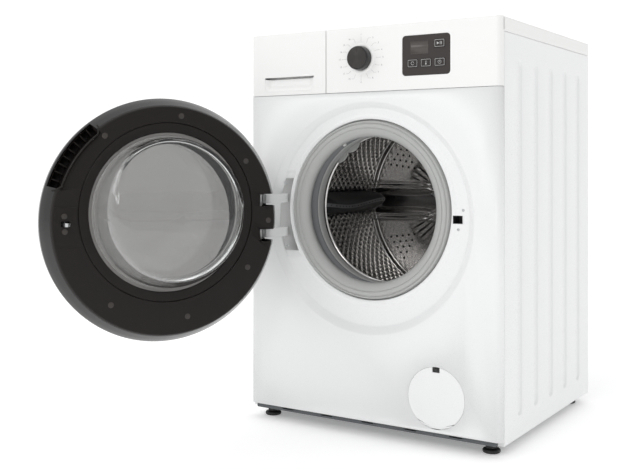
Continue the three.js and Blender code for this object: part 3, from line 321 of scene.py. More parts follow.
def side_panel(side):
    across = [14.6, 13.4, 12, 10.6, 9.2, 8.2, 6]
    ys = {side_low.y, side_high.y}
    for line in groove_lines:
        ys |= {line + s * d * MM for d in across for s in (-1, 1)} | {line}
    zs = {side_low.z, side_high.z}
    for end, s in ((groove_ends[0], -1), (groove_ends[1], 1)):
        zs |= {end + s * d * MM for d in [0, 2.5, 5, 7, 9, 10.6, 12, 13.4, 14.6]}
    ys, zs = sorted(ys), sorted(zs)

    def depth(y, z):
        line = min(groove_lines, key=lambda g: abs(g - y))
        off = math.hypot(y - line, max(0, z - groove_ends[1], groove_ends[0] - z))
        t = min(max((groove_half - off) / (5.2 * MM), 0), 1)
        return groove_depth * t * t * (3 - 2 * t)
    points = [(side * (side_x - depth(y, z)), y, z) for z in zs for y in ys]
    n = len(ys)
    faces = [(j * n + i, j * n + i + 1, (j + 1) * n + i + 1, (j + 1) * n + i)
             for j in range(len(zs) - 1) for i in range(n - 1)]
    inner = side * (side_x - 14 * MM)
    folds = []
    for y in (side_low.y, side_high.y):
        folds.append(([(side * side_x, y, zs[0]), (inner, y, zs[0]), (inner, y, zs[-1]),
                       (side * side_x, y, zs[-1])], [(0, 1, 2, 3)]))
    for z in (zs[0], zs[-1]):
        folds.append(([(side * side_x, ys[0], z), (inner, ys[0], z), (inner, ys[-1], z),
                       (side * side_x, ys[-1], z)], [(0, 1, 2, 3)]))
    name = "left" if side < 0 else "right"
    made = mesh_piece(f"side_sheet_{name}", *gather((points, faces), *folds), powder_coat, 40)
    thicken(made, 1.0 * MM)
    soften(made, 0.6 * MM)
    fit(made, "cabinet", [f"side_panel_{name}"])
    spring_low, spring_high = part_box(f"spring_{name}")
    x = (spring_low.x + spring_high.x) / 2
    y = (spring_low.y + spring_high.y) / 2
    reach = sorted((x - side * 16 * MM, side * (side_x - 1.2 * MM)))
    shelf = box(*reach, y - 16 * MM, y + 16 * MM, 790 * MM, 793 * MM)
    webs = [box(*reach, y + d * MM, y + (d + 3) * MM, 790 * MM, 815 * MM) for d in (-16, 13)]
    bracket = mesh_piece(f"spring_bracket_{name}", *gather(shelf, *webs), powder_coat)
    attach(bracket, "cabinet")


for hand in (-1, 1):
    side_panel(hand)

# ---- worktop ----
# Chipboard faced with white melamine and edged in the same white: flat, hard and slightly satin.
melamine = grain(finish_of("melamine_white", "F1F1F0", 0.4, IOR=1.5), 0.9, 0.012, (0.36, 0.46))
top_low, top_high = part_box("worktop")


def worktop():
    board = box(top_low.x, top_high.x, top_low.y, top_high.y, top_low.z, top_high.z)
    made = mesh_piece("worktop_board", *board, melamine)
    soften(made, 3.5 * MM, 4)
    return fit(made, "cabinet", ["worktop"])


worktop()

# ---- control fascia ----
# White ABS moulding that hooks over the front panel and under the worktop. The window and the knob's trim
# ring are set in it, and a ring of sixteen numbered positions is pad printed round the knob.
white_abs = grain(finish_of("satin_white_abs", "F2F2F1", 0.34, IOR=1.53), 0.8, 0.012, (0.3, 0.4))
seam = 0.55
fascia_low, fascia_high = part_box("control_fascia")
drawer_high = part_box("drawer_front")[1]
knob_low, knob_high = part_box("programme_knob")
knob_x, knob_z = (knob_low.x + knob_high.x) / 2 / MM, (knob_low.z + knob_high.z) / 2 / MM
knob_r = (knob_high.x - knob_low.x) / 2 / MM
glass_edge = (85.3, 190.7, 742.8, 823.2)


def front_cover(name, x0, x1, holes, side, material):
    """A front moulding: flat face with holes, a folded outer corner and a return at the inner edge."""
    z0, z1 = fascia_low.z + seam * MM, fascia_high.z - 0.4 * MM
    flat = side_x - corner_r
    a, b = (x0, flat) if side > 0 else (-flat, x1)
    parts = [plate([(a, z0), (b, z0), (b, z1), (a, z1)], holes, front_y), corner_fold(side, z0, z1)]
    inner = a if side > 0 else b
    parts.append(([(inner, front_y, z0), (inner, front_y + wrap, z0), (inner, front_y + wrap, z1),
                   (inner, front_y, z1)], [(0, 1, 2, 3)]))
    made = mesh_piece(name, *gather(*parts), material)
    thicken(made, 1.8 * MM)
    return made


def control_fascia():
    x0, x1, z0, z1 = glass_edge
    window = rounded((x0 - 0.5) * MM, (x1 + 0.5) * MM, (z0 - 0.5) * MM, (z1 + 0.5) * MM, 7.6 * MM, 8)
    shaft = circle(knob_x * MM, knob_z * MM, 8 * MM, 48)
    made = front_cover("fascia_cover", fascia_low.x + seam * MM, None, [window, shaft], 1, white_abs)
    soften(made, 0.5 * MM, 3)
    fit(made, "cabinet", ["control_fascia"])
    ring = [(knob_r + 0.9, 0.4), (knob_r + 0.9, -1.2), (knob_r + 1.3, -1.7), (knob_r + 4.2, -1.7),
            (knob_r + 5.4, -1.3), (knob_r + 6, -0.4), (knob_r + 6, 0.4)]
    trim = mesh_piece("knob_trim_ring", *turned(ring, 128, knob_x * MM, knob_z * MM), white_abs)
    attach(trim, "cabinet")


control_fascia()

# Pad-printed ink, one flat grey, stands a few hundredths of a millimetre off the plastic.
grey_ink = finish_of("pad_printed_grey_ink", "8E8E8D", 0.6)
light_ink = finish_of("pad_printed_light_ink", "C9C9C8", 0.5)


def printed(name, loops, ink, depth, body, holes=()):
    """Flat printed shapes, as outlines in millimetres, a little proud of a face at a depth."""
    flat = [plate([(x * MM, z * MM) for x, z in loop], [[(x * MM, z * MM) for x, z in h] for h in holes],
                  front_y + (depth - 0.06) * MM) for loop in loops]
    made = thicken(mesh_piece(name, *gather(*flat), ink), 0.05 * MM)
    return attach(made, body)


def digits(name, text, x, z, size, ink, depth, body):
    """A number, set plain and centred."""
    curve = bpy.data.curves.new(name, "FONT")
    curve.body = text
    curve.size = size * MM
    curve.align_x, curve.align_y = "CENTER", "CENTER"
    curve.extrude = 0.02 * MM
    made = bpy.data.objects.new(name, curve)
    bpy.context.scene.collection.objects.link(made)
    made.rotation_euler = (math.pi / 2, 0, 0)
    made.location = (x * MM, front_y + (depth - 0.05) * MM, z * MM)
    bpy.context.view_layer.update()
    shape = bpy.data.meshes.new_from_object(made.evaluated_get(bpy.context.evaluated_depsgraph_get()))
    shape.transform(made.matrix_world)
    bpy.data.objects.remove(made)
    shape.materials.clear()
    shape.materials.append(ink)
    solid = bpy.data.objects.new(name, shape)
    bpy.context.scene.collection.objects.link(solid)
    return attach(solid, body)


def bar(x0, z0, x1, z1, w):
    """Outline of a straight stroke between two points."""
    length = math.hypot(x1 - x0, z1 - z0)
    nx, nz = -(z1 - z0) / length * w / 2, (x1 - x0) / length * w / 2
    return [(x0 + nx, z0 + nz), (x1 + nx, z1 + nz), (x1 - nx, z1 - nz), (x0 - nx, z0 - nz)]


def programme_scale():
    strokes = []
    for k in range(16):
        a = math.radians(90 - 22.5 * k)
        c, s = math.cos(a), math.sin(a)
        reach = 41 + 5 * abs(s) ** 3
        start, bend = (35, 35), (reach, reach)
        p0 = (knob_x + start[0] * c, knob_z + start[1] * s)
        p1 = (knob_x + bend[0] * c, knob_z + bend[1] * s)
        strokes.append(bar(*p0, *p1, 0.35))
        if abs(c) > 0.2:
            p2 = (p1[0] + math.copysign(6, c), p1[1])
            strokes.append(bar(*p1, *p2, 0.35))
            spot = (p2[0] + math.copysign(5, c), p2[1])
        else:
            spot = (p1[0], p1[1] + math.copysign(3.8, s))
        digits(f"dial_number_{k + 1}", str(k + 1), *spot, 5, grey_ink, 0, "cabinet")
    printed("dial_strokes", strokes, grey_ink, 0, "cabinet")


programme_scale()

# ---- programme knob ----
# Black ABS with a spun aluminium cap dyed black. The lathe's rings on the cap throw light into two fans.
spun_cap = finish_of("spun_black_anodised_aluminium", "4A4847", 0.26, 1.0)
knob_abs = grain(finish_of("gloss_black_knob_abs", "141313", 0.2, IOR=1.53), 2.0, 0.008, (0.16, 0.24))


def programme_knob():
    side = [(knob_r - 3.2, -18.2), (knob_r - 2.2, -18.2), (knob_r - 1.2, -17.4), (knob_r - 0.5, -15.6),
            (knob_r - 0.1, -8), (knob_r, -1.4), (knob_r - 0.4, -0.7), (6, -0.7), (6, 2.4), (3, 2.4),
            (3, 13), (0, 13)]
    made = mesh_piece("knob_body", *turned(side, 128, knob_x * MM, knob_z * MM), knob_abs)
    fit(made, "knob", ["programme_knob"])
    rim = knob_r - 3.2
    turns = 22
    cap = [(rim, -17.2), (rim, -18.3), (rim - 0.5, -18.6)]
    for k in range(turns * 4, 1, -1):
        r = (rim - 1) * k / (turns * 4)
        cap.append((r, -18.45 - 0.035 * math.cos(math.pi * k / 2) - 0.3 * (1 - (r / rim) ** 2)))
    cap.append((0, -18.8))
    top = mesh_piece("knob_spun_cap", *turned(cap, 192, knob_x * MM, knob_z * MM), spun_cap, 60)
    mark = cutter("mark", knob_x - 0.8, knob_x + 0.8, -19.4, -17.9, knob_z + 12, knob_z + rim - 1)
    carve(top, mark)
    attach(top, "knob")


def cutter(name, x0, x1, d0, d1, z0, z1):
    """A block to cut with, by width, depth behind the front and height, in millimetres."""
    return mesh_piece(name, *box(x0 * MM, x1 * MM, front_y + d0 * MM, front_y + d1 * MM, z0 * MM, z1 * MM),
                      knob_abs)


programme_knob()

# ---- display window and its keys ----
# A smoked acrylic window, flush in the fascia, with a plain display area and four keys that press through
# it. Each key carries a printed frame and a plain symbol.
smoked_acrylic = grain(finish_of("smoked_acrylic", "35302E", 0.12, IOR=1.49), 6, 0.004, (0.1, 0.15))
display_glass = finish_of("unlit_display_film", "4B4643", 0.22, IOR=1.5)
key_plastic = grain(finish_of("gloss_smoked_key", "2C2826", 0.16, IOR=1.49), 5, 0.004, (0.13, 0.2))
key_names = {"start": "start_key", "speed": "speed_key", "heat": "heat_key", "delay": "delay_key"}


def display_window():
    x0, x1, z0, z1 = glass_edge
    outline = rounded(x0 * MM, x1 * MM, z0 * MM, z1 * MM, 7.2 * MM, 8)
    gaps, keys = [], {}
    for name in key_names:
        low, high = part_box(f"button_{name}")
        keys[name] = (low.x / MM, high.x / MM, low.z / MM, high.z / MM)
        gaps.append(rounded(low.x - 0.35 * MM, high.x + 0.35 * MM, low.z - 0.35 * MM, high.z + 0.35 * MM,
                            2.3 * MM, 4))
    made = mesh_piece("display_lens", *plate(outline, gaps, front_y + 0.1 * MM), smoked_acrylic)
    thicken(made, 3 * MM)
    soften(made, 0.3 * MM)
    fit(made, "cabinet", ["display_window"])
    printed("display_area", [rounded(103.6, 143, 785, 811, 0.8, 3)], display_glass, 0.08, "cabinet")
    for name, body in key_names.items():
        a, b, c, d = keys[name]
        cap = mesh_piece(f"key_{name}", *plate(rounded(a * MM, b * MM, c * MM, d * MM, 2 * MM, 4), [],
                                               front_y - 0.75 * MM), key_plastic)
        thicken(cap, 4.4 * MM)
        soften(cap, 0.5 * MM, 3)
        fit(cap, body, [f"button_{name}"])
        printed(f"key_frame_{name}", [rounded(a + 1.2, b - 1.2, c + 1.2, d - 1.2, 1.4, 4)], light_ink,
                -0.75, body, [rounded(a + 1.8, b - 1.8, c + 1.8, d - 1.8, 1, 4)])
        x, z = (a + b) / 2, (c + d) / 2
        marks = {"start": [[(x - 5.5, z - 3), (x - 0.5, z), (x - 5.5, z + 3)],
                           bar(x + 1.8, z - 3, x + 1.8, z + 3, 1.1),
                           bar(x + 4.6, z - 3, x + 4.6, z + 3, 1.1)],
                 "speed": [bar(x + 3.2 * math.cos(t), z + 3.2 * math.sin(t), x + 3.2 * math.cos(t + 0.5),
                               z + 3.2 * math.sin(t + 0.5), 0.7) for t in (0.5 * k for k in range(11))],
                 "heat": [bar(x, z - 1.5, x, z + 3.6, 1), circle(x, z - 2.4, 1.7, 16),
                          bar(x + 1.6, z + 3, x + 3, z + 3, 0.5),
                          bar(x + 1.6, z + 1.2, x + 3, z + 1.2, 0.5)],
                 "delay": [bar(x + 3.4 * math.cos(t), z + 3.4 * math.sin(t), x + 3.4 * math.cos(t + 0.42),
                               z + 3.4 * math.sin(t + 0.42), 0.6) for t in (0.42 * k for k in range(15))]
                 + [bar(x, z, x, z + 2.4, 0.6), bar(x, z, x + 1.8, z, 0.6)]}[name]
        printed(f"key_symbol_{name}", marks, light_ink, -0.75, body)


display_window()

# ---- detergent drawer front ----
# White ABS to match the fascia. The pull is a scoop that deepens upward to a finger slot under the top
# edge.
pull = {"x0": -258, "x1": -129, "z0": 723, "z1": 754, "slot": 750.4}


def drawer_front():
    p = pull
    corner = 9
    loop = rounded(p["x0"] * MM, p["x1"] * MM, p["z0"] * MM, p["z1"] * MM, corner * MM, 8)
    # Only the lower corners are round.
    middle = (p["x0"] + p["x1"]) / 2 * MM
    square = []
    for x, z in loop:
        if z >= (p["z1"] - corner) * MM:
            x = max(p["x0"] * MM, min(p["x1"] * MM, x + math.copysign(corner * MM, x - middle)))
        square.append((x, z))
    made = front_cover("drawer_cover", None, drawer_high.x - seam * MM, [dedupe(square)], -1, white_abs)
    soften(made, 0.5 * MM, 3)
    fit(made, "drawer", ["drawer_front"])
    cols, rows = 64, 26
    points = []
    for j in range(rows + 1):
        z = p["z0"] + (p["slot"] - p["z0"]) * j / rows
        pinch = corner - math.sqrt(max(corner ** 2 - max(p["z0"] + corner - z, 0) ** 2, 0))
        for i in range(cols + 1):
            x = p["x0"] + pinch + (p["x1"] - p["x0"] - 2 * pinch) * i / cols
            inside = min(x - p["x0"] - pinch, p["x1"] - pinch - x)
            bottom = z - p["z0"]
            ramp = min(1, inside / 13) * min(1, bottom / 15)
            ramp = ramp * ramp * (3 - 2 * ramp)
            points.append((x * MM, front_y + (0.5 + 8.5 * ramp * (0.45 + 0.55 * j / rows)) * MM, z * MM))
    n = cols + 1
    faces = [(j * n + i, j * n + i + 1, (j + 1) * n + i + 1, (j + 1) * n + i) for j in range(rows)
             for i in range(cols)]
    scoop = thicken(mesh_piece("drawer_pull_scoop", points, faces, white_abs, 60), 1.2 * MM, -1)
    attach(scoop, "drawer")
    hood = mesh_piece("drawer_pull_hood", *gather(box(p["x0"] * MM, p["x1"] * MM, front_y + 19 * MM,
                                                      front_y + 20.5 * MM, 740 * MM, 770 * MM),
                                                  box(p["x0"] * MM, p["x1"] * MM, front_y + 2 * MM,
                                                      front_y + 20 * MM, 768.5 * MM, 770 * MM)), white_abs)
    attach(hood, "drawer")


def dedupe(loop):
    """Drops points of an outline that fall on the one before."""
    kept = []
    for point in loop:
        if not kept or math.dist(point, kept[-1]) > 1e-6:
            kept.append(point)
    return kept[:-1] if math.dist(kept[0], kept[-1]) < 1e-6 else kept


drawer_front()

# ---- filter flap ----
# A round flap, painted to match, snaps over the pump filter. A notch in its top edge takes a coin, and a
# dark recess shows behind it.
def filter_flap():
    x, z, r = flap_x / MM, flap_z / MM, flap_r / MM - 0.45
    loop = []
    for k in range(160):
        a = 2 * math.pi * k / 160 + math.pi / 2
        px, pz = x + r * math.cos(a), z + r * math.sin(a)
        loop.append((px, max(pz, flap_low.z / MM - 1.3)))
    loop = dedupe(loop)
    made = mesh_piece("filter_flap_cover", *plate([(a * MM, b * MM) for a, b in loop], [], front_y),
                      powder_coat)
    thicken(made, 2 * MM)
    notch = cutter("notch", x - 8, x + 8, -3, 4, z + 51, z + 70)
    carve(made, notch)
    soften(made, 0.5 * MM, 3)
    fit(made, "flap", ["filter_flap"])
    back = mesh_piece("filter_flap_catch", *box((x - 7.4) * MM, (x + 7.4) * MM, front_y + 2.2 * MM,
                                                front_y + 3.4 * MM, (z + 47) * MM, (z + 60) * MM), knob_abs)
    tab = mesh_piece("tab", *box((x - 3) * MM, (x + 3) * MM, front_y + 1 * MM, front_y + 2.6 * MM,
                                 (z + 55) * MM, (z + 58.5) * MM), knob_abs)
    carve(back, tab, join=True)
    soften(back, 0.4 * MM)
    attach(back, "flap")


filter_flap()

# ---- feet ----
# Black rubber pads moulded on a hexagonal nut and a threaded stem, screwed up into the base.
black_rubber = grain(finish_of("moulded_black_rubber", "1B1B1B", 0.55, IOR=1.52), 1.0, 0.03, (0.48, 0.64))


def foot(name, body):
    low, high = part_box(f"foot_{name}")
    x, d = (low.x + high.x) / 2 / MM, ((low.y + high.y) / 2 - front_y) / MM
    pad = upright(x, d, [(0, 0), (15, 0), (16.6, 0.8), (17.8, 3), (17.8, 5.4), (16.4, 7.4), (12, 8.6),
                         (0, 8.6)], 48)
    nut = upright(x, d, [(0, 8.6), (11.6, 8.6), (12.4, 9.4), (12.4, 14.4), (11.6, 15.2), (0, 15.2)], 6)
    thread = [(0, 15)]
    for k in range(14):
        thread += [(4.3, 15.4 + 1.5 * k), (4.95, 16.1 + 1.5 * k)]
    thread += [(4.3, 36.6), (0, 36.9)]
    stem = mesh_piece(f"foot_stem_{name}", *upright(x, d, thread, 32), zinc_plate)
    made = mesh_piece(f"foot_pad_{name}", *gather(pad, nut), black_rubber)
    soften(made, 0.4 * MM)
    fit(made, body, [f"foot_{name}"])
    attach(stem, body)


def upright(x, depth, profile, steps=32):
    """A profile of (radius, height) turned about a vertical line, in millimetres."""
    points, faces = [], []
    for r, z in profile:
        for k in range(steps):
            a = 2 * math.pi * k / steps
            points.append(((x + r * math.cos(a)) * MM, front_y + (depth + r * math.sin(a)) * MM, z * MM))
    for i in range(len(profile) - 1):
        faces += [(i * steps + k, i * steps + (k + 1) % steps, (i + 1) * steps + (k + 1) % steps,
                   (i + 1) * steps + k) for k in range(steps)]
    return points, faces


# A zinc-plated steel hook and screws show a cool, faintly streaked metal.
zinc_plate = grain(finish_of("bright_zinc_plate", "C9CBCC", 0.3, 1.0), 1.2, 0.012, (0.24, 0.36), (1, 1, 6))
for name, body in (("front_left", "foot_fl"), ("front_right", "foot_fr"), ("rear_left", "foot_rl"),
                   ("rear_right", "foot_rr")):
    foot(name, body)

# ---- rear panel ----
# Bare galvanised sheet, screwed on, with a shallow round bulge pressed out over the pulley. Zinc spangle
# shows as patches a few millimetres across.
def galvanised():
    made = finish_of("hot_dip_galvanised_steel", "B4B8BA", 0.42, 1.0)
    tree = made.node_tree
    place = node(tree, "TexCoord")
    cells = node(tree, "TexVoronoi", Vector=(place, "Object"), Scale=1 / (7 * MM))
    tone = node(tree, "MapRange", Value=(cells, "Color"), To_Min=0.34, To_Max=0.5)
    ramp = node(tree, "ValToRGB", Fac=(cells, "Color"))
    ramp.color_ramp.elements[0].color = linear("A6ABAD")
    ramp.color_ramp.elements[1].color = linear("C3C6C7")
    shader = tree.nodes["Principled BSDF"]
    tree.links.new(tone.outputs["Result"], shader.inputs["Roughness"])
    tree.links.new(ramp.outputs["Color"], shader.inputs["Base Color"])
    return made


zinc_sheet = galvanised()


def rear_panel():
    low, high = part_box("rear_panel")
    back = high.y
    depth = (back - front_y) / MM
    loop = [(low.x, low.z), (high.x, low.z), (high.x, high.z), (low.x, high.z)]
    holes = [circle(0, axis_z, 169 * MM, 192)]
    # Cord gland, drain hose and inlet valve come through it.
    holes += [circle(x * MM, z * MM, r * MM, 32) for x, z,
              r in ((215, 765, 10), (245, 170, 12.4), (-262, 765, 12))]
    sheet = plate(loop, holes, back - 0.9 * MM)
    dish = turned([(169, depth - 0.9), (166, depth - 1.2), (160, depth - 4.4), (157, depth - 5.2),
                   (150, depth - 5.4), (60, depth - 5.4), (0, depth - 5.4)], 192, 0, axis_z)
    made = thicken(mesh_piece("rear_sheet", *gather(sheet, dish), zinc_sheet), 0.8 * MM, 0)
    fit(made, "cabinet", ["rear_panel"])
    spots = [(x, z) for z in (60, 300, 560, 790) for x in (-285, 285)]
    spots += [(-120, 40), (120, 40), (-120, 805), (120, 805)]
    for k, (x, z) in enumerate(spots):
        screw(f"rear_screw_{k + 1}", x, z, depth - 0.5, "cabinet", 3.6, 1)


def screw(name, x, z, depth, body, radius=3.6, out=-1):
    """A cross-head screw whose dome stands off a face at a depth, to the front (out -1) or the rear (1)."""
    dome = [(0, depth + out * 1.9), (radius * 0.5, depth + out * 1.7), (radius * 0.85, depth + out * 1.0),
            (radius, depth), (0, depth)]
    head = mesh_piece(name, *turned(dome, 24, x * MM, z * MM), zinc_plate)
    for w, t in ((radius * 0.62, 0.5), (0.5, radius * 0.62)):
        lo, hi = sorted((depth + out * 0.7, depth + out * 3))
        carve(head, cutter("slot", x - w, x + w, lo, hi, z - t, z + t))
    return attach(head, body)


rear_panel()
# ---- drum wall ----
# Stainless steel strip rolled to a cylinder and seamed. Rows of pressed diamonds cushion the laundry, and a
# small hole pierced in every hollow drains it. The front edge is rolled over a short lip.
drum_low, drum_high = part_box("drum_shell")
drum_r = (drum_high.x - drum_low.x) / 2 / MM
drum_front = (drum_low.y - front_y) / MM
drum_back = (drum_high.y - front_y) / MM
mouth_r = 157
lifter_half = 21
# Polished stainless mirrors the white porthole and the dark inside, so it reads as strong light and dark.
drum_steel = grain(finish_of("polished_stainless", "C8C6C4", 0.17, 1.0), 1.4, 0.01, (0.13, 0.24), (1, 6, 1))
# The holes are not cut: dark discs of painted shade stand where each hole would show the shaded space behind
# it.
hole_shade_paint = finish_of("pierced_hole_shadow", "121212", 0.7)


def drum_wall():
    cell = 22
    across = round(2 * math.pi * drum_r / cell)
    fine = 8
    around_count = across * fine
    y0, y1 = drum_front + 16, drum_back - 14
    rows = round((y1 - y0) / cell)
    step = (y1 - y0) / rows / fine
    points, faces, holes = [], [], []
    lifter_angles = [math.pi, math.pi - 2 * math.pi / 3, math.pi + 2 * math.pi / 3]
    for j in range(rows * fine + 1):
        d = y0 + j * step
        v = j / fine
        for i in range(around_count):
            a = 2 * math.pi * i / around_count
            u = i / fine
            # Hollows sit on a diamond lattice, with smooth domes between them.
            hollow = (math.cos(math.pi * (u + v)) * math.cos(math.pi * (u - v))) ** 2
            near = min(abs((a - c + math.pi) % (2 * math.pi) - math.pi) for c in lifter_angles) * drum_r
            flat = min(max((near - lifter_half - 5) / 5, 0), 1) * min(1, v / 0.6, (rows - v) / 0.6)
            r = drum_r - 1.2 - 4.2 * flat * (1 - hollow)
            points.append((r * math.cos(a) * MM, front_y + d * MM, axis_z + r * math.sin(a) * MM))
    for j in range(rows * fine):
        for i in range(around_count):
            k = (i + 1) % around_count
            faces.append((j * around_count + i, j * around_count + k, (j + 1) * around_count + k,
                          (j + 1) * around_count + i))
    made = mesh_piece("drum_wall", points, faces, drum_steel, 60)
    for v in range(1, rows):
        for u in range(across):
            for shift in (0, 0.5):
                uu, vv = u + shift, v + shift
                if vv > rows - 0.6:
                    continue
                a = 2 * math.pi * uu / across
                near = min(abs((a - c + math.pi) % (2 * math.pi) - math.pi) for c in lifter_angles) * drum_r
                if near > lifter_half + 8:
                    holes.append((a, y0 + vv * fine * step))
    spots = []
    for a, d in holes:
        centre = Vector((math.cos(a), 0, math.sin(a)))
        side = Vector((-math.sin(a), 0, math.cos(a)))
        base = centre * (drum_r - 2.3) * MM + Vector((0, front_y + d * MM, axis_z))
        ring = [tuple(base + (side * math.cos(t) + Vector((0, 1, 0)) * math.sin(t)) * 2.4 * MM)
                for t in (2 * math.pi * k / 8 for k in range(8))]
        low = [tuple(Vector(p) + centre * 2.2 * MM) for p in ring]
        spots.append((ring + low, [tuple(range(8)),
                                   *[(k, (k + 1) % 8, 8 + (k + 1) % 8, 8 + k) for k in range(8)],
                                   tuple(range(15, 7, -1))]))
    # Each drain hole is a dark disc of painted shade, not a cut.
    dark = mesh_piece("drum_wall_hole_shade", *gather(*spots), hole_shade_paint)
    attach(dark, "drum")
    thicken(made, 0.6 * MM, 1)
    fit(made, "drum", ["drum_shell"])
    rim = [(drum_r - 1.2, y0), (drum_r - 1.4, drum_front + 9.4), (drum_r - 4, drum_front + 5),
           (drum_r - 7, drum_front + 3.6), (mouth_r + 10, drum_front + 0.2),
           (mouth_r + 4.5, drum_front - 0.6), (mouth_r + 1.4, drum_front + 0.4),
           (mouth_r + 0.2, drum_front + 2.2), (mouth_r + 1.1, drum_front + 3.6),
           (mouth_r + 2.6, drum_front + 3.2), (mouth_r + 5, drum_front + 0.6)]
    lip = mesh_piece("drum_front_lip", *turned(rim, 192, 0, axis_z), drum_steel, 60)
    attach(lip, "drum")


drum_wall()

# ---- drum back ----
# A deep drawn disc of the same steel. A three-armed star is pressed in behind the spider, each arm between
# a pair of rolled bands, with pierced triangles and fans of stretch creases between the arms.
def drum_disc():
    rings, around_count = 132, 360
    outer = drum_r - 1
    points, faces = [], []
    arm_turn = [math.pi, math.pi / 3, -math.pi / 3]

    def smooth(t):
        t = min(max(t, 0), 1)
        return t * t * (3 - 2 * t)

    def depth(r, a):
        off = min(((a - c + math.pi) % (2 * math.pi) - math.pi for c in arm_turn), key=abs)
        side = abs(r * math.sin(off)) if abs(off) < math.pi / 2 else 999
        half = 15 + 30 * math.exp(-(r / 46) ** 1.6)
        trough = 22 * (1 - smooth((side - half) / 9)) if abs(off) < math.pi / 2 else 0
        trough *= 1 - smooth((r - (outer - 22)) / 12)
        # The two rolled bands beside each trough stand proud towards the laundry.
        band = 0
        for place, tall in ((half + 17, 5.0), (half + 29, 3.6)):
            band += tall * math.exp(-((side - place) / 4.2) ** 2) * smooth((r - 62) / 30)
        # Between the arms the steel dishes in, with a flat pierced triangle and creases round it.
        gap = math.radians(36) - abs(off)
        dish = 8 * smooth((r - 60) / 40) * smooth((150 - r) / 30) * smooth(1 - abs(gap) / 0.5)
        crease = 1.5 * math.sin(54 * a) * smooth((r - 46) / 14) * smooth((140 - r) / 24)
        crease *= smooth(1 - abs(gap) / 0.46)
        rim = 6 * smooth((r - (outer - 9)) / 9)
        hub = 4 * smooth((30 - r) / 8)
        return drum_back - 8 + trough * 0.45 - band + dish * 0.35 + crease - rim * 1.5 - hub
    for i in range(rings + 1):
        r = outer * (i / rings) ** 0.9
        for k in range(around_count):
            a = 2 * math.pi * k / around_count
            points.append((r * math.cos(a) * MM, front_y + depth(r, a) * MM, axis_z + r * math.sin(a) * MM))
    for i in range(rings):
        for k in range(around_count):
            n = (k + 1) % around_count
            faces.append((i * around_count + k, i * around_count + n, (i + 1) * around_count + n,
                          (i + 1) * around_count + k))
    made = mesh_piece("drum_back_disc", points, faces, drum_steel, 70)
    thicken(made, 0.6 * MM, -1)
    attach(made, "drum")
    spots = []
    for middle in (turn + side * math.radians(36) for turn in arm_turn for side in (-1, 1)):
        for row in range(5):
            for col in range(row + 1):
                r = 142 + row * 15
                side = (col - row / 2) * 16
                a = middle + math.atan2(side, r)
                rr = math.hypot(r, side)
                d = depth(rr, a) - 0.9
                x, z = rr * math.cos(a), rr * math.sin(a)
                ring = [((x + 3 * math.cos(t)) * MM, front_y + d * MM, axis_z + (z + 3 * math.sin(t)) * MM)
                        for t in (2 * math.pi * k / 12 for k in range(12))]
                low = [(px, py + 2 * MM, pz) for px, py, pz in ring]
                spots.append((ring + low, [tuple(range(12)),
                                           *[(k, (k + 1) % 12, 12 + (k + 1) % 12, 12 + k)
                                             for k in range(12)], tuple(range(23, 11, -1))]))
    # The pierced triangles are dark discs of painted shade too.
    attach(mesh_piece("drum_back_hole_shade", *gather(*spots), hole_shade_paint), "drum")


drum_disc()

# ---- lifters ----
# Three hollow fins of dark grey glass-filled polypropylene, clipped to the wall. A light wavy crest runs
# the length of each, with small drain holes along it and on both flanks.
lifter_pp = grain(finish_of("moulded_dark_grey_pp", "3D3E40", 0.36, IOR=1.49), 1.0, 0.02, (0.3, 0.42))
crest_pp = grain(finish_of("moulded_mid_grey_pp", "77787A", 0.34, IOR=1.49), 1.0, 0.02, (0.3, 0.4))


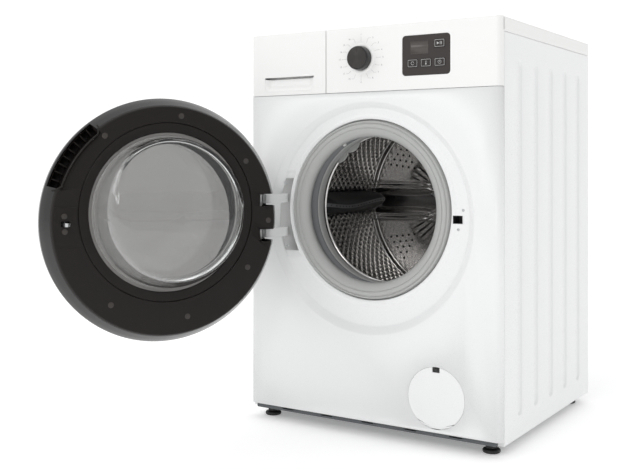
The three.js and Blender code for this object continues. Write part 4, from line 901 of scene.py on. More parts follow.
def lifter(name, turn):
    low, length = 112, 332
    steps, sides = 72, 28
    tops, points, faces = [], [], []
    for i in range(steps + 1):
        t = i / steps
        d = low + length * t
        end = min(1, (0.16 + 5.2 * min(t, 1 - t)) ** 0.5) if min(t, 1 - t) < 0.13 else 1
        tall = 20 + 40 * min(1, math.sin(min(t, 1 - t, 0.18) / 0.18 * math.pi / 2))
        sway = 6 * math.sin(2 * math.pi * (t - 0.1))
        for k in range(sides + 1):
            s = -1 + 2 * k / sides
            body = (1 - abs(s) ** 2.6) ** 0.75
            w = s * (26 - 1.5 * body) * end + sway * body
            h = drum_r - 4.4 - tall * body
            points.append((h, d, w))
        tops.append((drum_r - 4.4 - tall, d, sway))
    n = sides + 1
    faces = [(i * n + k, i * n + k + 1, (i + 1) * n + k + 1, (i + 1) * n + k) for i in range(steps)
             for k in range(sides)]
    faces += [tuple(range(n)), tuple(steps * n + k for k in reversed(range(n)))]

    def placed(p):
        h, d, w = p
        x, z = h * math.cos(turn) - w * math.sin(turn), h * math.sin(turn) + w * math.cos(turn)
        return (x * MM, front_y + d * MM, axis_z + z * MM)
    made = mesh_piece(f"lifter_fin_{name}", [placed(p) for p in points], faces, lifter_pp, 45)
    fit(made, "drum", [f"lifter_{name}"])
    crest = tops[5:-4]
    ribbon, strip = [], []
    for h, d, w in crest:
        for s in (-4.4, -3.4, 0, 3.4, 4.4):
            ribbon.append(placed((h - (1.3 if abs(s) < 4 else -1.2) + abs(s) * 0.06, d, w + s)))
    for i in range(len(crest) - 1):
        strip += [(i * 5 + k, i * 5 + k + 1, (i + 1) * 5 + k + 1, (i + 1) * 5 + k) for k in range(4)]
    ridge = thicken(mesh_piece(f"lifter_crest_{name}", ribbon, strip, crest_pp, 45), 0.8 * MM)
    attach(ridge, "drum")
    dots = []
    for h, d, w in crest[3:-3:3]:
        for lift, shift in ((-1.5, 0), (9, -9.5), (9, 9.5), (17, -13.5), (17, 13.5)):
            base = Vector(placed((h + lift, d, w + shift)))
            axis = (base - Vector(placed((h + 40, d, w)))).normalized()
            one = axis.cross(Vector((0, 1, 0))).normalized()
            two = Vector((0, 1, 0))
            ring = [tuple(base + (one * math.cos(t) + two * math.sin(t)) * 1.3 * MM + axis * 0.5 * MM)
                    for t in (2 * math.pi * k / 8 for k in range(8))]
            dots.append((ring, [tuple(range(8))]))
    # The drain holes on the crest and flanks are dark dots of painted shade.
    marks = thicken(mesh_piece(f"lifter_hole_shade_{name}", *gather(*dots), hole_shade_paint), 1.2 * MM)
    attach(marks, "drum")


for spot, name in enumerate(("left", "lower", "upper")):
    lifter(name, math.pi + spot * 2 * math.pi / 3)

# ---- door gasket ----
# One moulding of grey EPDM rubber. Its lip turns over the panel's edge under a wire band, its bellows lets
# the tub move, and its collar is clamped to the tub. A small spray nozzle and a flap sit at the top left.
epdm_light = grain(finish_of("moulded_grey_epdm", "B2B3B1", 0.45, IOR=1.5), 1.2, 0.02, (0.4, 0.55))
# The bellows takes the same grey rubber made darker: painted shade for its deep fold.
epdm_shaded_fold = grain(finish_of("grey_epdm_painted_shade_fold", "7E8082", 0.5, IOR=1.5), 1.2, 0.02, (0.45, 0.58))


def door_gasket():
    lip = [(187.7, 24), (187.5, 16), (185.4, 14), (184.9, 10), (184.8, 7.6), (184, 6.2), (182.6, 5.8),
           (181.2, 6.8), (180.5, 8), (179.8, 8.2), (179.1, 7.6), (178.2, 5.9), (176.4, 5.2), (172.4, 5.1),
           (171.2, 5.4), (170.5, 6.8), (169.9, 7), (169.2, 6.0), (166.6, 6.2), (161, 8.2), (156.2, 11.8),
           (153.4, 16.4), (152.6, 20), (152.8, 24), (154.2, 29), (157.5, 34), (160, 36.2)]
    fold = [(160, 36.2), (163.8, 39.5), (166.5, 44), (167.6, 49), (167, 53), (164.6, 56), (161.4, 57.6),
            (159.2, 60), (158.6, 63), (158.8, 67), (160, 70), (163, 72), (168, 73), (174, 73.4),
            (177.4, 74), (178.6, 76), (178.8, 80.4)]
    inner = [(158.4, 62.4), (157.2, 64.5), (156.8, 70), (156.8, 80), (157.2, 84.6), (158.6, 86.4),
             (161.2, 87), (163.6, 86)]
    # The bellows gets the darker copy of the rubber as painted shade; lip, tub ring and flap keep the
    # rubber's own grey.
    for name, profile, material, side in (("gasket_lip", lip, epdm_light, -1),
                                          ("gasket_bellows", fold, epdm_shaded_fold, 1),
                                          ("gasket_tub_ring", inner, epdm_light, 1)):
        made = mesh_piece(name, *turned(profile, 256, 0, axis_z), material, 50)
        thicken(made, 1.6 * MM, side)
        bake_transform(made)
        if name == "gasket_lip":
            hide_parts("door_gasket")


def gasket_fittings():
    # A white spray nozzle pokes through the upper fold, and a two-lobed flap hangs at the drum's mouth.
    turn = math.radians(119)
    tip = [(0, 0), (3.2, 0), (3.9, 0.8), (4, 4), (5.4, 4.6), (5.4, 7), (0, 7)]
    points, faces = [], []
    for r, rise in tip:
        for k in range(28):
            a = 2 * math.pi * k / 28
            along, across = r * math.cos(a), r * math.sin(a)
            out = 153.5 + rise
            points.append(((out * math.cos(turn) - across * math.sin(turn)) * MM,
                           front_y + (40 + along) * MM,
                           axis_z + (out * math.sin(turn) + across * math.cos(turn)) * MM))
    faces = [(i * 28 + k, i * 28 + (k + 1) % 28, (i + 1) * 28 + (k + 1) % 28, (i + 1) * 28 + k)
             for i in range(len(tip) - 1) for k in range(28)]
    nozzle = mesh_piece("gasket_spray_nozzle", points, faces, white_abs)
    steps = 60
    points = []
    for k in range(steps + 1):
        t = k / steps
        a = math.radians(114 + 27 * t)
        lobe = abs(math.sin(2 * math.pi * t)) ** 0.5 * 11 + 2 * math.sin(math.pi * t)
        for r, d in ((161, 87), (158.6 - 0.2 * lobe, 86.4), (158 - 0.7 * lobe, 85), (157.6 - lobe, 83)):
            points.append((r * math.cos(a) * MM, front_y + d * MM, axis_z + r * math.sin(a) * MM))
    faces = [(k * 4 + i, k * 4 + i + 1, (k + 1) * 4 + i + 1, (k + 1) * 4 + i) for k in range(steps)
             for i in range(3)]
    flap = thicken(mesh_piece("gasket_flap", points, faces, epdm_light, 60), 1.4 * MM, 0)
    for piece in (nozzle, flap):
        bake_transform(piece)


door_gasket()
gasket_fittings()
# ---- door shell and window ----
# A gloss black ABS moulding with a bevelled rear rim, closed in front by a tinted polycarbonate disc.
# A finger recess breaks the rim on the lock side. Both are drawn shut and swung open about the hinge pin.
hinge = next(j for j in frame["joints"] if j["name"] == "door_hinge")
hinge_at = Vector(hinge["pos_m"])
swing = (Matrix.Translation(hinge_at) @ Matrix.Rotation(-math.radians(hinge["range_deg"][1]), 4, "Z")
         @ Matrix.Translation(-hinge_at))
pivot_x = hinge_at.x / MM
pivot_depth = (hinge_at.y - front_y) / MM
arm_z = (407, 480)
arm_tall = 19
grip = {"start": 17, "sweep": 35, "inner": 219, "outer": 237.5, "floor": -44}

# Gloss ABS straight from a polished tool: deep black, with soft wide highlights.
gloss_abs = grain(finish_of("gloss_black_abs", "151312", 0.16, IOR=1.5), 4.0, 0.01, (0.13, 0.2))
# Tinted polycarbonate lets about a fifth of the light through and keeps a hard shine.
tinted_pc = grain(finish_of("tinted_polycarbonate", "82807F", 0.04, IOR=1.58, Transmission_Weight=1.0), 9,
                  0.004)


def swung(piece):
    piece.data.transform(swing)
    return piece


def arm_gaps():
    return [cutter("arm_gap", -262, pivot_x + 29, pivot_depth - 2, 12, z - 3, z + arm_tall + 3)
            for z in arm_z]


def sector(r0, r1, d0, d1, start, sweep, steps=48):
    """A closed block between two radii, depths and angles round the door's centre."""
    profile = [(r0, d0), (r1, d0), (r1, d1), (r0, d1), (r0, d0)]
    points, faces = turned(profile, steps, 0, door_z, start, sweep)
    n = steps + 1
    faces += [tuple(k * n for k in range(4)), tuple(k * n + steps for k in (3, 2, 1, 0))]
    return points, faces


def door_shell():
    profile = [(227.4, -3.2), (228.4, -2.6), (229.4, -3.0), (236.6, -16.4), (243.8, -30.6), (244.6, -33.2),
               (244.6, -38), (243.6, -50), (241.4, -61), (238, -70.4), (232, -78.2), (224, -83), (210, -86),
               (168, -89.4), (168, -86.5), (160, -86.5), (160, -84.4), (209, -82.6), (221.8, -80.5),
               (230.5, -75), (235.5, -68), (239.6, -56), (241.4, -40), (241.8, -32), (235.5, -19),
               (227.4, -3.2)]
    shell = mesh_piece("door_shell", *turned(profile, 256, 0, door_z), gloss_abs)
    reach = mesh_piece("reach", *sector(200, 242.4, -30, 10, grip["start"], grip["sweep"]), gloss_abs)
    carve(shell, reach, *arm_gaps())
    soften(swung(shell), 0.5 * MM)
    fit(shell, "door", ["door_cover"])
    face = [(0, -97), (60, -96.2), (120, -93.6), (150, -91.4), (166.4, -89.8), (167.6, -89), (167.6, -87.2),
            (166.6, -86.9), (160, -86.9), (120, -90.6), (60, -93.2), (0, -94)]
    pane = mesh_piece("door_tinted_window", *turned(face, 192, 0, door_z), tinted_pc)
    fit(swung(pane), "door", ["door_window"])


door_shell()

# ---- door inner frame ----
# The inner moulding is black polypropylene with a fine sparked texture, screwed to the shell under seven
# press-in plugs. It holds the glass, the lock hook under its own cover plate, and the finger recess.
sparked_pp = grain(finish_of("sparked_black_polypropylene", "1B1715", 0.45, IOR=1.49,
                             Specular_IOR_Level=0.22), 0.7, 0.03, (0.36, 0.5))
plug_pp = grain(finish_of("plain_black_polypropylene", "3A3633", 0.42, IOR=1.49, Specular_IOR_Level=0.35),
                0.7, 0.01, (0.38, 0.48))
frame_face = 4.3
plugs = [(97.2, 209.6), (52.8, 209.9), (144.2, 202.3), (-149.2, 195.3), (-101.5, 195.9), (-54.2, 196.9),
         (-178.8, 214)]
lock_x, lock_z = 202, 454.5


def disc(name, x, z, profile, material):
    return mesh_piece(name, *turned(profile, 32, x * MM, z * MM), material)


def door_frame():
    profile = [(177.7, -6), (177.7, 3.7), (178.3, frame_face), (222.4, frame_face), (225.2, 3.9),
               (226.8, 2.4), (228.2, -0.6), (229, -2.4), (226.8, -2.4), (225.6, 0.4), (224, 1.4),
               (186, 1.4), (180.8, 1.4), (180.8, -9), (166, -9), (166, -6), (177.7, -6)]
    ring = turned(profile, 256, 0, door_z)
    # The opening for the glass is centred on the drum, 17 mm above the door's centre.
    lift = axis_z - door_z
    points = []
    for x, y, z in ring[0]:
        r = math.hypot(x, z - door_z) / MM
        points.append((x, y, z + lift * min(max((200 - r) / 14, 0), 1)))
    made = mesh_piece("door_frame", points, ring[1], sparked_pp)
    inner, outer, floor = grip["inner"], grip["outer"], grip["floor"]
    cup = mesh_piece("cup", *sector(inner - 2, outer + 2, floor - 2, -2, grip["start"] - 0.5,
                                    grip["sweep"] + 1), sparked_pp)
    trim = [(0, floor - 4), (236, floor - 4), (239.2, -34), (239.2, -31), (226, -3.4), (226, 0), (0, 0)]
    bound = mesh_piece("bound", *turned(trim, 256, 0, door_z), sparked_pp)
    meet = cup.modifiers.new("meet", "BOOLEAN")
    meet.operation, meet.solver, meet.object = "INTERSECT", "EXACT", bound
    settle(cup)
    bpy.data.objects.remove(bound)
    carve(made, cup, join=True)
    hollow = mesh_piece("hollow", *sector(inner, outer, floor, 12, grip["start"], grip["sweep"]),
                        sparked_pp)
    window = cutter("window", lock_x - 9, lock_x + 8, -20, 8, lock_z - 8, lock_z + 8)
    pin_hole = cutter("pin_hole", pivot_x - 3.2, pivot_x + 3.2, pivot_depth - 3.2, pivot_depth + 3.2, 396,
                      510)
    carve(made, hollow, window, pin_hole, *arm_gaps())
    for angle, radius in plugs:
        x, z = radius * math.cos(math.radians(angle)), door_z / MM + radius * math.sin(math.radians(angle))
        plug = disc(f"frame_plug_{plugs.index((angle, radius)) + 1}", x, z,
                    [(0, 4.9), (3.4, 4.85), (5, 4.65), (5.8, 4.3), (5.8, 3.6), (0, 3.6)], plug_pp)
        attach(swung(plug), "door")
    soften(swung(made), 0.5 * MM)
    fit(made, "door", ["door_inner_frame"])


door_frame()


def bead(name, path, radius, material, body, sides=12, close=False):
    """A round bar swept along points in millimetres: width, depth behind the front, height."""
    spots = [Vector((x * MM, front_y + d * MM, z * MM)) for x, d, z in path]
    radii = radius if isinstance(radius, list) else [radius] * len(spots)
    points, faces = [], []
    side = None
    for i, spot in enumerate(spots):
        ahead = spots[(i + 1) % len(spots)] if close or i + 1 < len(spots) else spot
        behind = spots[i - 1] if close or i else spot
        along = (ahead - behind).normalized()
        if side is None:
            side = along.orthogonal()
        side = (side - along * side.dot(along)).normalized()
        up = side.cross(along)
        points += [tuple(spot + radii[i] * MM * (math.cos(a) * side + math.sin(a) * up))
                   for a in (2 * math.pi * k / sides for k in range(sides))]
    last = len(spots) if close else len(spots) - 1
    for i in range(last):
        j = (i + 1) % len(spots)
        faces += [(i * sides + k, i * sides + (k + 1) % sides, j * sides + (k + 1) % sides, j * sides + k)
                  for k in range(sides)]
    if not close:
        faces += [tuple(range(sides)), tuple((len(spots) - 1) * sides + k for k in reversed(range(sides)))]
    made = mesh_piece(name, points, faces, material)
    if body:
        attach(made, body)
    return made


def around(radius, start, sweep, depth):
    """Points along an arc round the door's centre, in millimetres."""
    steps = 40
    return [(radius * math.cos(math.radians(start + sweep * k / steps)), depth,
             door_z / MM + radius * math.sin(math.radians(start + sweep * k / steps)))
            for k in range(steps + 1)]


# A rounded lip follows the recess so that fingers pull on a smooth edge, with thin ribs on its floor.
lip = [(233 * math.cos(math.radians(53.4)), -8.5, door_z / MM + 233 * math.sin(math.radians(53.4)))]
lip += [(227.5 * math.cos(math.radians(52.8)), 0, door_z / MM + 227.5 * math.sin(math.radians(52.8)))]
lip += around(220, 51.4, -33.8, 4.2)[1:-1]
lip += [(227.5 * math.cos(math.radians(16.2)), 0, door_z / MM + 227.5 * math.sin(math.radians(16.2)))]
lip += [(233 * math.cos(math.radians(15.6)), -8.5, door_z / MM + 233 * math.sin(math.radians(15.6)))]
swung(bead("grip_lip", lip, 1.9, sparked_pp, None)).name = "grip_lip"
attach(bpy.data.objects["grip_lip"], "door")
ribs = [sector(grip["inner"] + 0.3, grip["outer"] - 0.3, grip["floor"] + 0.1, -24, 20.5 + 4 * k, 0.45, 1)
        for k in range(8)]
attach(swung(mesh_piece("grip_ribs", *gather(*ribs), sparked_pp)), "door")


def lock_cover():
    # The hook's cover plate: a thin tray held by two screws under plugs, flush in the frame.
    outside = [(178.6, 483.4), (221.8, 483.4), (223.5, 481), (223.5, 466), (223.5, 440), (220, 409),
               (217.5, 406.6)]
    inner_arc = []
    for k in range(13):
        a = math.radians(-20.6 + 25.3 * k / 12)
        inner_arc.append((180.2 * math.cos(a), axis_z / MM + 180.2 * math.sin(a)))
    loop = [(x * MM, z * MM) for x, z in outside + inner_arc]
    hole = rounded((lock_x - 9.5) * MM, (lock_x + 8) * MM, (lock_z - 9.4) * MM, (lock_z + 1.4) * MM, 1 * MM)
    made = mesh_piece("lock_cover", *plate(loop, [hole], front_y + (frame_face + 0.5) * MM), sparked_pp)
    thicken(made, 1.0 * MM, 0)
    soften(swung(made), 0.45 * MM, 3)
    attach(made, "door")
    for k, (x, z) in enumerate(((204, 465.4), (203, 436.4))):
        plug = disc(f"lock_plug_{k + 1}", x, z,
                    [(0, 6.6), (3.4, 6.5), (5.2, 6.2), (5.6, 5.8), (5.6, 4.4), (0, 4.4)], plug_pp)
        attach(swung(plug), "door")


lock_cover()

# ---- glass bowl and its ring ----
# A pressed soda-lime glass bowl with 6 mm walls. Its flat floor holds the wash back from the window and
# the upper half slopes to throw it down. A clamp ring with a milled inner edge holds its flange.
clear_glass = finish_of("pressed_soda_lime_glass", "FAFCFB", 0.0, IOR=1.52, Transmission_Weight=1.0)
glass_ridge = axis_z / MM + 8


def glass_bowl():
    steps = 160
    outer = [(172, -2.2), (152, -2.2), (150.4, -1.2), (149.8, 2), (149.4, 10), (148.6, 20), (147, 30),
             (144.8, 40), (142, 50), (138.8, 60), (135, 70), (131.6, 77), (128, 82.4), (124, 86.2),
             (119, 88.8), (113, 90), (104, 90.2), (88, 90.4), (70, 90.6), (50, 90.8), (30, 90.9), (12, 91),
             (0, 91)]
    inner = [(172, -6), (146, -6), (144.6, -4.6), (143.8, 0), (143.2, 9), (142.4, 18.6), (140.8, 28.4),
             (138.6, 38.2), (135.8, 47.8), (132.6, 57.4), (128.8, 67), (125.4, 73.6), (121.8, 78.4),
             (118, 81.4), (113.6, 83.2), (108, 84), (98, 84.2), (82, 84.4), (66, 84.6), (48, 84.8),
             (28, 84.9), (10, 85), (0, 85)]

    def shaped(profile, floor, blend):
        points = []
        rows = []
        for r, d in profile:
            row = []
            for k in range(steps):
                a = 2 * math.pi * k / steps
                x, z = r * math.cos(a), r * math.sin(a)
                slope = floor - (z + axis_z / MM - glass_ridge) * 0.4
                gap = (d - slope) / blend
                y = d - blend * math.log1p(math.exp(gap)) if gap < 40 else slope
                row.append(len(points))
                points.append((x * MM, front_y + (y if d > 0 else d) * MM, axis_z + z * MM))
            rows.append(row)
        faces = [(rows[i][k], rows[i][(k + 1) % steps], rows[i + 1][(k + 1) % steps], rows[i + 1][k])
                 for i in range(len(rows) - 1) for k in range(steps)]
        return points, faces
    front = shaped(outer, 91, 2.2)
    back = shaped(inner, 84.4, 4)
    edge = turned([(172, -2.2), (172, -6)], steps, 0, axis_z)
    made = mesh_piece("door_glass_bowl", *gather(front, back, edge), clear_glass, 50)
    fit(swung(made), "door", ["door_glass"])
    ring = [(157.6, 1.4), (158.2, 3.4), (159.4, frame_face), (175.6, frame_face), (176.9, 3.4),
            (176.9, -1.6), (157.6, -1.6), (157.6, 1.4)]
    clamp = mesh_piece("glass_clamp_ring", *turned(ring, 256, 0, axis_z), sparked_pp)
    fit(swung(clamp), "door", ["door_glass_ring"])
    points, faces = [], []
    profile = [(151.2, -1.6), (156.8, 1.6), (157.4, 1.6)]
    count = 360
    for i, (r, d) in enumerate(profile):
        for k in range(count):
            a = 2 * math.pi * k / count
            wave = (0.45 if k % 2 else -0.45) if i == 1 else 0
            points.append(((r + wave) * math.cos(a) * MM, front_y + (d + wave) * MM,
                           axis_z + (r + wave) * math.sin(a) * MM))
    faces = [(i * count + k, i * count + (k + 1) % count, (i + 1) * count + (k + 1) % count,
              (i + 1) * count + k) for i in range(2) for k in range(count)]
    milled = mesh_piece("glass_milled_edge", points, faces,
                        grain(finish_of("satin_grey_polypropylene", "8F8C8A", 0.3), 0.8, 0.01), 20)
    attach(swung(milled), "door")


glass_bowl()

# ---- lock hook and hinge ----
# A zinc-plated steel hook rocks on a small pin behind its cover plate. The hinge is a stamped plate screwed
# into the seat, with two white-coated arms that carry one long bright steel pin.
satin_steel = grain(finish_of("satin_stamped_steel", "B9BAB9", 0.34, 1.0), 0.9, 0.015, (0.28, 0.42),
                    (1, 1, 8))


def extruded(name, loop, z0, z1, material):
    """A block with an outline in plan (x, depth), between two heights, in millimetres."""
    points, faces = plate([(x * MM, front_y + d * MM) for x, d in loop], [], 0)
    made = mesh_piece(name, [(x, depth, z0 * MM) for x, _, depth in points], faces, material)
    return thicken_up(made, (z1 - z0) * MM)


def thicken_up(piece, tall):
    bm = bmesh.new()
    bm.from_mesh(piece.data)
    grown = bmesh.ops.extrude_face_region(bm, geom=bm.faces[:])
    for item in grown["geom"]:
        if isinstance(item, bmesh.types.BMVert):
            item.co.z += tall
    bmesh.ops.recalc_face_normals(bm, faces=bm.faces)
    bm.to_mesh(piece.data)
    bm.free()
    piece.data.set_sharp_from_angle(angle=math.radians(32))
    return piece


def hook_and_hinge():
    hook = extruded("lock_hook", [(202, -17), (207, -17), (207, 26), (206, 30), (204, 32.6), (202.5, 32.8),
                                  (196.5, 27.4), (196.5, 24.4), (202, 24.4)], lock_z - 7.5, lock_z - 0.5,
                    zinc_plate)
    soften(swung(hook), 0.7 * MM, 3)
    fit(hook, "hook", ["door_hook"])
    rod = mesh_piece("hinge_pin_rod", *upright(pivot_x, pivot_depth,
                                               [(0, 400), (2.4, 400), (2.95, 401), (2.95, 504), (2.4, 505),
                                                (0, 505)]), satin_steel)
    fit(swung(rod), "door", ["hinge_pin"])
    sleeves = [upright(pivot_x, pivot_depth, [(3.1, z - 2.6), (5.6, z - 2.6), (5.6, z - 0.5),
                                              (3.1, z - 0.5), (3.1, z - 2.6)])
               for z in [a + k * (arm_tall + 3.1) for a in arm_z for k in (0, 1)]]
    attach(swung(mesh_piece("hinge_washers", *gather(*sleeves), satin_steel)), "door")
    plate_piece = mesh_piece("hinge_plate", *box(-232 * MM, -170 * MM, front_y + 12.4 * MM,
                                                 front_y + 14.7 * MM, 375 * MM, 533 * MM), satin_steel)
    keep = mesh_piece("keep", *turned([(0, 10), (224.6, 10), (224.6, 20), (0, 20)], 128, 0, door_z),
                      satin_steel)
    meet = plate_piece.modifiers.new("meet", "BOOLEAN")
    meet.operation, meet.solver, meet.object = "INTERSECT", "EXACT", keep
    settle(plate_piece)
    bpy.data.objects.remove(keep)
    carve(plate_piece, *[mesh_piece("away", *turned([(0, 9), (192.2, 9), (192.2, 21), (0, 21)], 128, 0, z),
                                    satin_steel) for z in (axis_z, door_z)])
    soften(plate_piece, 0.8 * MM, 3, 50)
    fit(plate_piece, "cabinet", ["hinge_bracket"])
    px, pd = pivot_x, pivot_depth
    spine = [(px, pd, 4.2), (px + 13, pd + 1.5, 4.1), (px + 13.6, pd + 1.8, 4.1), (px + 18.5, pd + 5.5, 4),
             (px + 21, pd + 11, 4), (px + 21.5, pd + 20, 4), (px + 21.5, -20, 4.4), (px + 19.5, -8, 5),
             (px + 16, 2, 5.4), (px + 13, 12.2, 5.6)]
    left, right = [], []
    for i, (x, d, half) in enumerate(spine):
        ax, ad = spine[max(i - 1, 0)][:2]
        bx, bd = spine[min(i + 1, len(spine) - 1)][:2]
        length = math.hypot(bx - ax, bd - ad)
        left.append((x - half * (bd - ad) / length, d + half * (bx - ax) / length))
        # Beside its barrel the arm thins to a tongue on the far side.
        near = -1.4 if i < 2 else half
        right.append((x + near * (bd - ad) / length, d - near * (bx - ax) / length))
    for k, z in enumerate(arm_z):
        arm = extruded(f"hinge_arm_{k + 1}", left + right[::-1], z, z + arm_tall, powder_coat)
        carve(arm, mesh_piece("bore", *upright(px, pd,
                                               [(0, z - 1), (4.6, z - 1), (4.6, z + 30), (0, z + 30)], 40),
                              powder_coat))
        barrel = mesh_piece(f"hinge_barrel_{k + 1}",
                            *upright(px, pd, [(3.15, z), (4.9, z), (5.5, z + 0.6),
                                              (5.5, z + arm_tall - 0.6), (4.9, z + arm_tall),
                                              (3.15, z + arm_tall), (3.15, z)], 40), satin_steel)
        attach(barrel, "cabinet")
        soften(arm, 0.7 * MM, 3, 40)
        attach(arm, "cabinet")


hook_and_hinge()


for k, (x, z) in enumerate(((-211, 522), (-207, 386))):
    screw(f"hinge_screw_{k + 1}", x, z, 12.4, "cabinet", 4.4)
for k, (x, z) in enumerate(((213.5, 473.5), (203, 435))):
    screw(f"lock_screw_{k + 1}", x, z, 11.9, "cabinet", 3.0)
# ---- suspended tub ----
# Two halves moulded in glass-filled polypropylene, screwed together through a flange. The concrete weights
# are bolted to it, and the steel bearing unit is moulded into its rear hub.
def coated(material, *names, edge=0.6):
    """Gives the carried-over solids their finish and breaks their sharp edges."""
    for name in names:
        part = bpy.data.objects[name]
        part.data.materials.clear()
        part.data.materials.append(material)
        soften(part, edge * MM, 2, 30)


filled_pp = grain(finish_of("glass_filled_polypropylene_pale_grey", "C6C8C9", 0.5, IOR=1.49), 1.4, 0.05,
                  (0.44, 0.6))
cast_concrete = grain(finish_of("cast_concrete_grey", "8E8C87", 0.9, IOR=1.5), 5.0, 0.6, (0.82, 0.96))
bearing_steel = grain(finish_of("ground_bearing_steel", "A9ABAD", 0.24, 1.0), 0.6, 0.006, (0.2, 0.3))
coated(filled_pp, "tub_front", "tub_rear", edge=1.2)
coated(cast_concrete, "counterweight_front", "counterweight_top", edge=3)
coated(bearing_steel, "drum_bearing")


def tub_screws():
    ring_depth, ring_r = 291, 266
    heads = []
    for k in range(14):
        a = 2 * math.pi * (k + 0.5) / 14
        heads.append(turned([(0, ring_depth - 6), (3.4, ring_depth - 6), (4, ring_depth - 5.4),
                             (4, ring_depth - 1.5)], 6, ring_r * math.cos(a) * MM,
                            axis_z + ring_r * math.sin(a) * MM))
    made = mesh_piece("tub_flange_screws", *gather(*heads), zinc_plate)
    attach(made, "tub")


tub_screws()

# ---- heater, motor, belt and pulley ----
# A nickel-plated heating loop lies in the sump. The induction motor hangs under the tub and turns the cast
# aluminium pulley through a ribbed rubber belt; the spider that carries the drum is cast in the same alloy.
nickel = grain(finish_of("nickel_plated_tube", "B3B1AC", 0.28, 1.0), 0.8, 0.01, (0.22, 0.36))
cast_alloy = grain(finish_of("die_cast_aluminium", "A8AAAC", 0.46, 1.0), 1.8, 0.06, (0.4, 0.54))
motor_paint = grain(finish_of("baked_grey_motor_enamel", "7F8386", 0.42, IOR=1.5), 1.2, 0.03, (0.36, 0.5))
ribbed_rubber = grain(finish_of("ribbed_belt_rubber", "1A1A1A", 0.7, IOR=1.52), 0.8, 0.05, (0.64, 0.8))
coated(nickel, "heater", edge=0.3)
coated(cast_alloy, "drum_spider", "drum_pulley", "motor_pulley", edge=0.8)
coated(motor_paint, "motor", edge=1.5)
coated(ribbed_rubber, "drive_belt", edge=0.5)


def motor_bolts():
    x, z = 85, 155
    rods = []
    for k in range(4):
        a = math.radians(45 + 90 * k)
        rods.append(turned([(0, 360), (3, 360), (3, 498), (0, 498)], 12, (x + 46 * math.cos(a)) * MM,
                           (z + 46 * math.sin(a)) * MM))
    made = mesh_piece("motor_tie_rods", *gather(*rods), zinc_plate)
    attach(made, "tub")


motor_bolts()

# ---- springs and dampers ----
# Two tension springs of bright drawn wire carry the tub, and two friction dampers below steady it. The
# damper tubes are black nylon and their rods zinc-plated steel.
spring_wire = grain(finish_of("bright_spring_wire", "9A9C9E", 0.3, 1.0), 0.6, 0.008, (0.24, 0.36))
black_nylon = grain(finish_of("moulded_black_nylon", "2B2C2E", 0.46, IOR=1.53), 1.0, 0.03, (0.4, 0.54))


def spring(name, side):
    x, d = side * 235, 325
    turns, per_turn, coil_r = 16, 24, 11
    z_top, z_bottom = 768, 644
    path = [(x + 6, d, 801), (x + 3, d, 802), (x, d, 799), (x, d, 790), (x, d, 778), (x + 5, d, 771)]
    for k in range(turns * per_turn + 1):
        a = 2 * math.pi * k / per_turn
        path.append((x + coil_r * math.cos(a), d + coil_r * math.sin(a),
                     z_top - (z_top - z_bottom) * k / (turns * per_turn)))
    path += [(x + 5, d, 640), (x, d, 634), (x, d, 620), (x, d, 604), (x + side * 1.5, d, 599),
             (x + side * 4, d, 598)]
    made = bead(f"spring_wire_{name}", path, 1.7, spring_wire, None, 10)
    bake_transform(made)
    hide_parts(f"spring_{name}")


for hand, name in ((-1, "left"), (1, "right")):
    spring(name, hand)
    coated(black_nylon, f"damper_tube_{name}", edge=0.8)
    coated(zinc_plate, f"damper_rod_{name}", edge=0.4)

# ---- hoses inside ----
# Black rubber: a short bellows joins the drawer housing to the tub, and a bent hose runs from the sump
# down to the pump. Steel spring bands clamp the sump hose at both ends.
hose_rubber = grain(finish_of("extruded_black_rubber", "202020", 0.6, IOR=1.52), 1.2, 0.03, (0.52, 0.68))


def inner_hoses():
    x, d = -150, 258
    wavy = [(20.6, 697.2), (22.8, 697.4)]
    for k in range(37):
        t = k / 36
        wavy.append((23.4 - 1.7 * math.cos(2 * math.pi * 3 * t), 699 + 15 * t))
    wavy += [(22.8, 715.6), (20.6, 715.8), (20.6, 697.2)]
    bellows = mesh_piece("fill_bellows", *upright(x, d, wavy, 64), hose_rubber, 60)
    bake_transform(bellows)
    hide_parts("fill_hose")
    path = [(0, 150, 174.7), (0, 150, 162), (1, 149, 150), (5, 143, 136), (14, 132, 121), (30, 116, 108),
            (52, 101, 101), (74, 93, 99.8), (92, 90.3, 100), (109.5, 90, 100)]
    tube = bead("sump_tube", smooth_path(path, 48), 16, hose_rubber, None, 32)
    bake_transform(tube)
    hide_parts("sump_hose")
    for name, body, at, along in (("tub", "tub", (0, 150, 169), (0, 0, 1)),
                                  ("pump", "cabinet", (104, 90, 100), (1, 0, 0))):
        turn = [(16.6 * math.cos(a), 16.6 * math.sin(a)) for a in (2 * math.pi * k / 40 for k in range(40))]
        loop = [(at[0] + (u if along[2] else 0), at[1] + (v if along[2] else u),
                 at[2] + (0 if along[2] else v)) for u, v in turn]
        bead(f"hose_clamp_{name}", loop, 0.9, zinc_plate, body, 8, True)


def smooth_path(path, count):
    """A path of points drawn again with more, closer points on a smooth curve through them."""
    out = []
    for k in range(count + 1):
        t = k / count * (len(path) - 1)
        i = min(int(t), len(path) - 2)
        f = t - i
        p = [Vector(path[min(max(j, 0), len(path) - 1)]) for j in range(i - 1, i + 3)]
        out.append(0.5 * (2 * p[1] + (p[2] - p[0]) * f + (2 * p[0] - 5 * p[1] + 4 * p[2] - p[3]) * f * f
                          + (3 * p[1] - p[0] - 3 * p[2] + p[3]) * f ** 3))
    return [tuple(v) for v in out]


inner_hoses()

# ---- water inlet, drain and cord outlet at the rear ----
# The inlet valve is white polyamide with a three-quarter inch thread. The drain hose leaves through a
# flanged spigot, and a rubber gland closes the hole for the mains cord.
white_nylon = grain(finish_of("moulded_white_polyamide", "DCDCD6", 0.42, IOR=1.53), 1.0, 0.02, (0.36, 0.5))
grey_pp = grain(finish_of("moulded_grey_polypropylene", "55585B", 0.46, IOR=1.49), 1.0, 0.03, (0.4, 0.54))


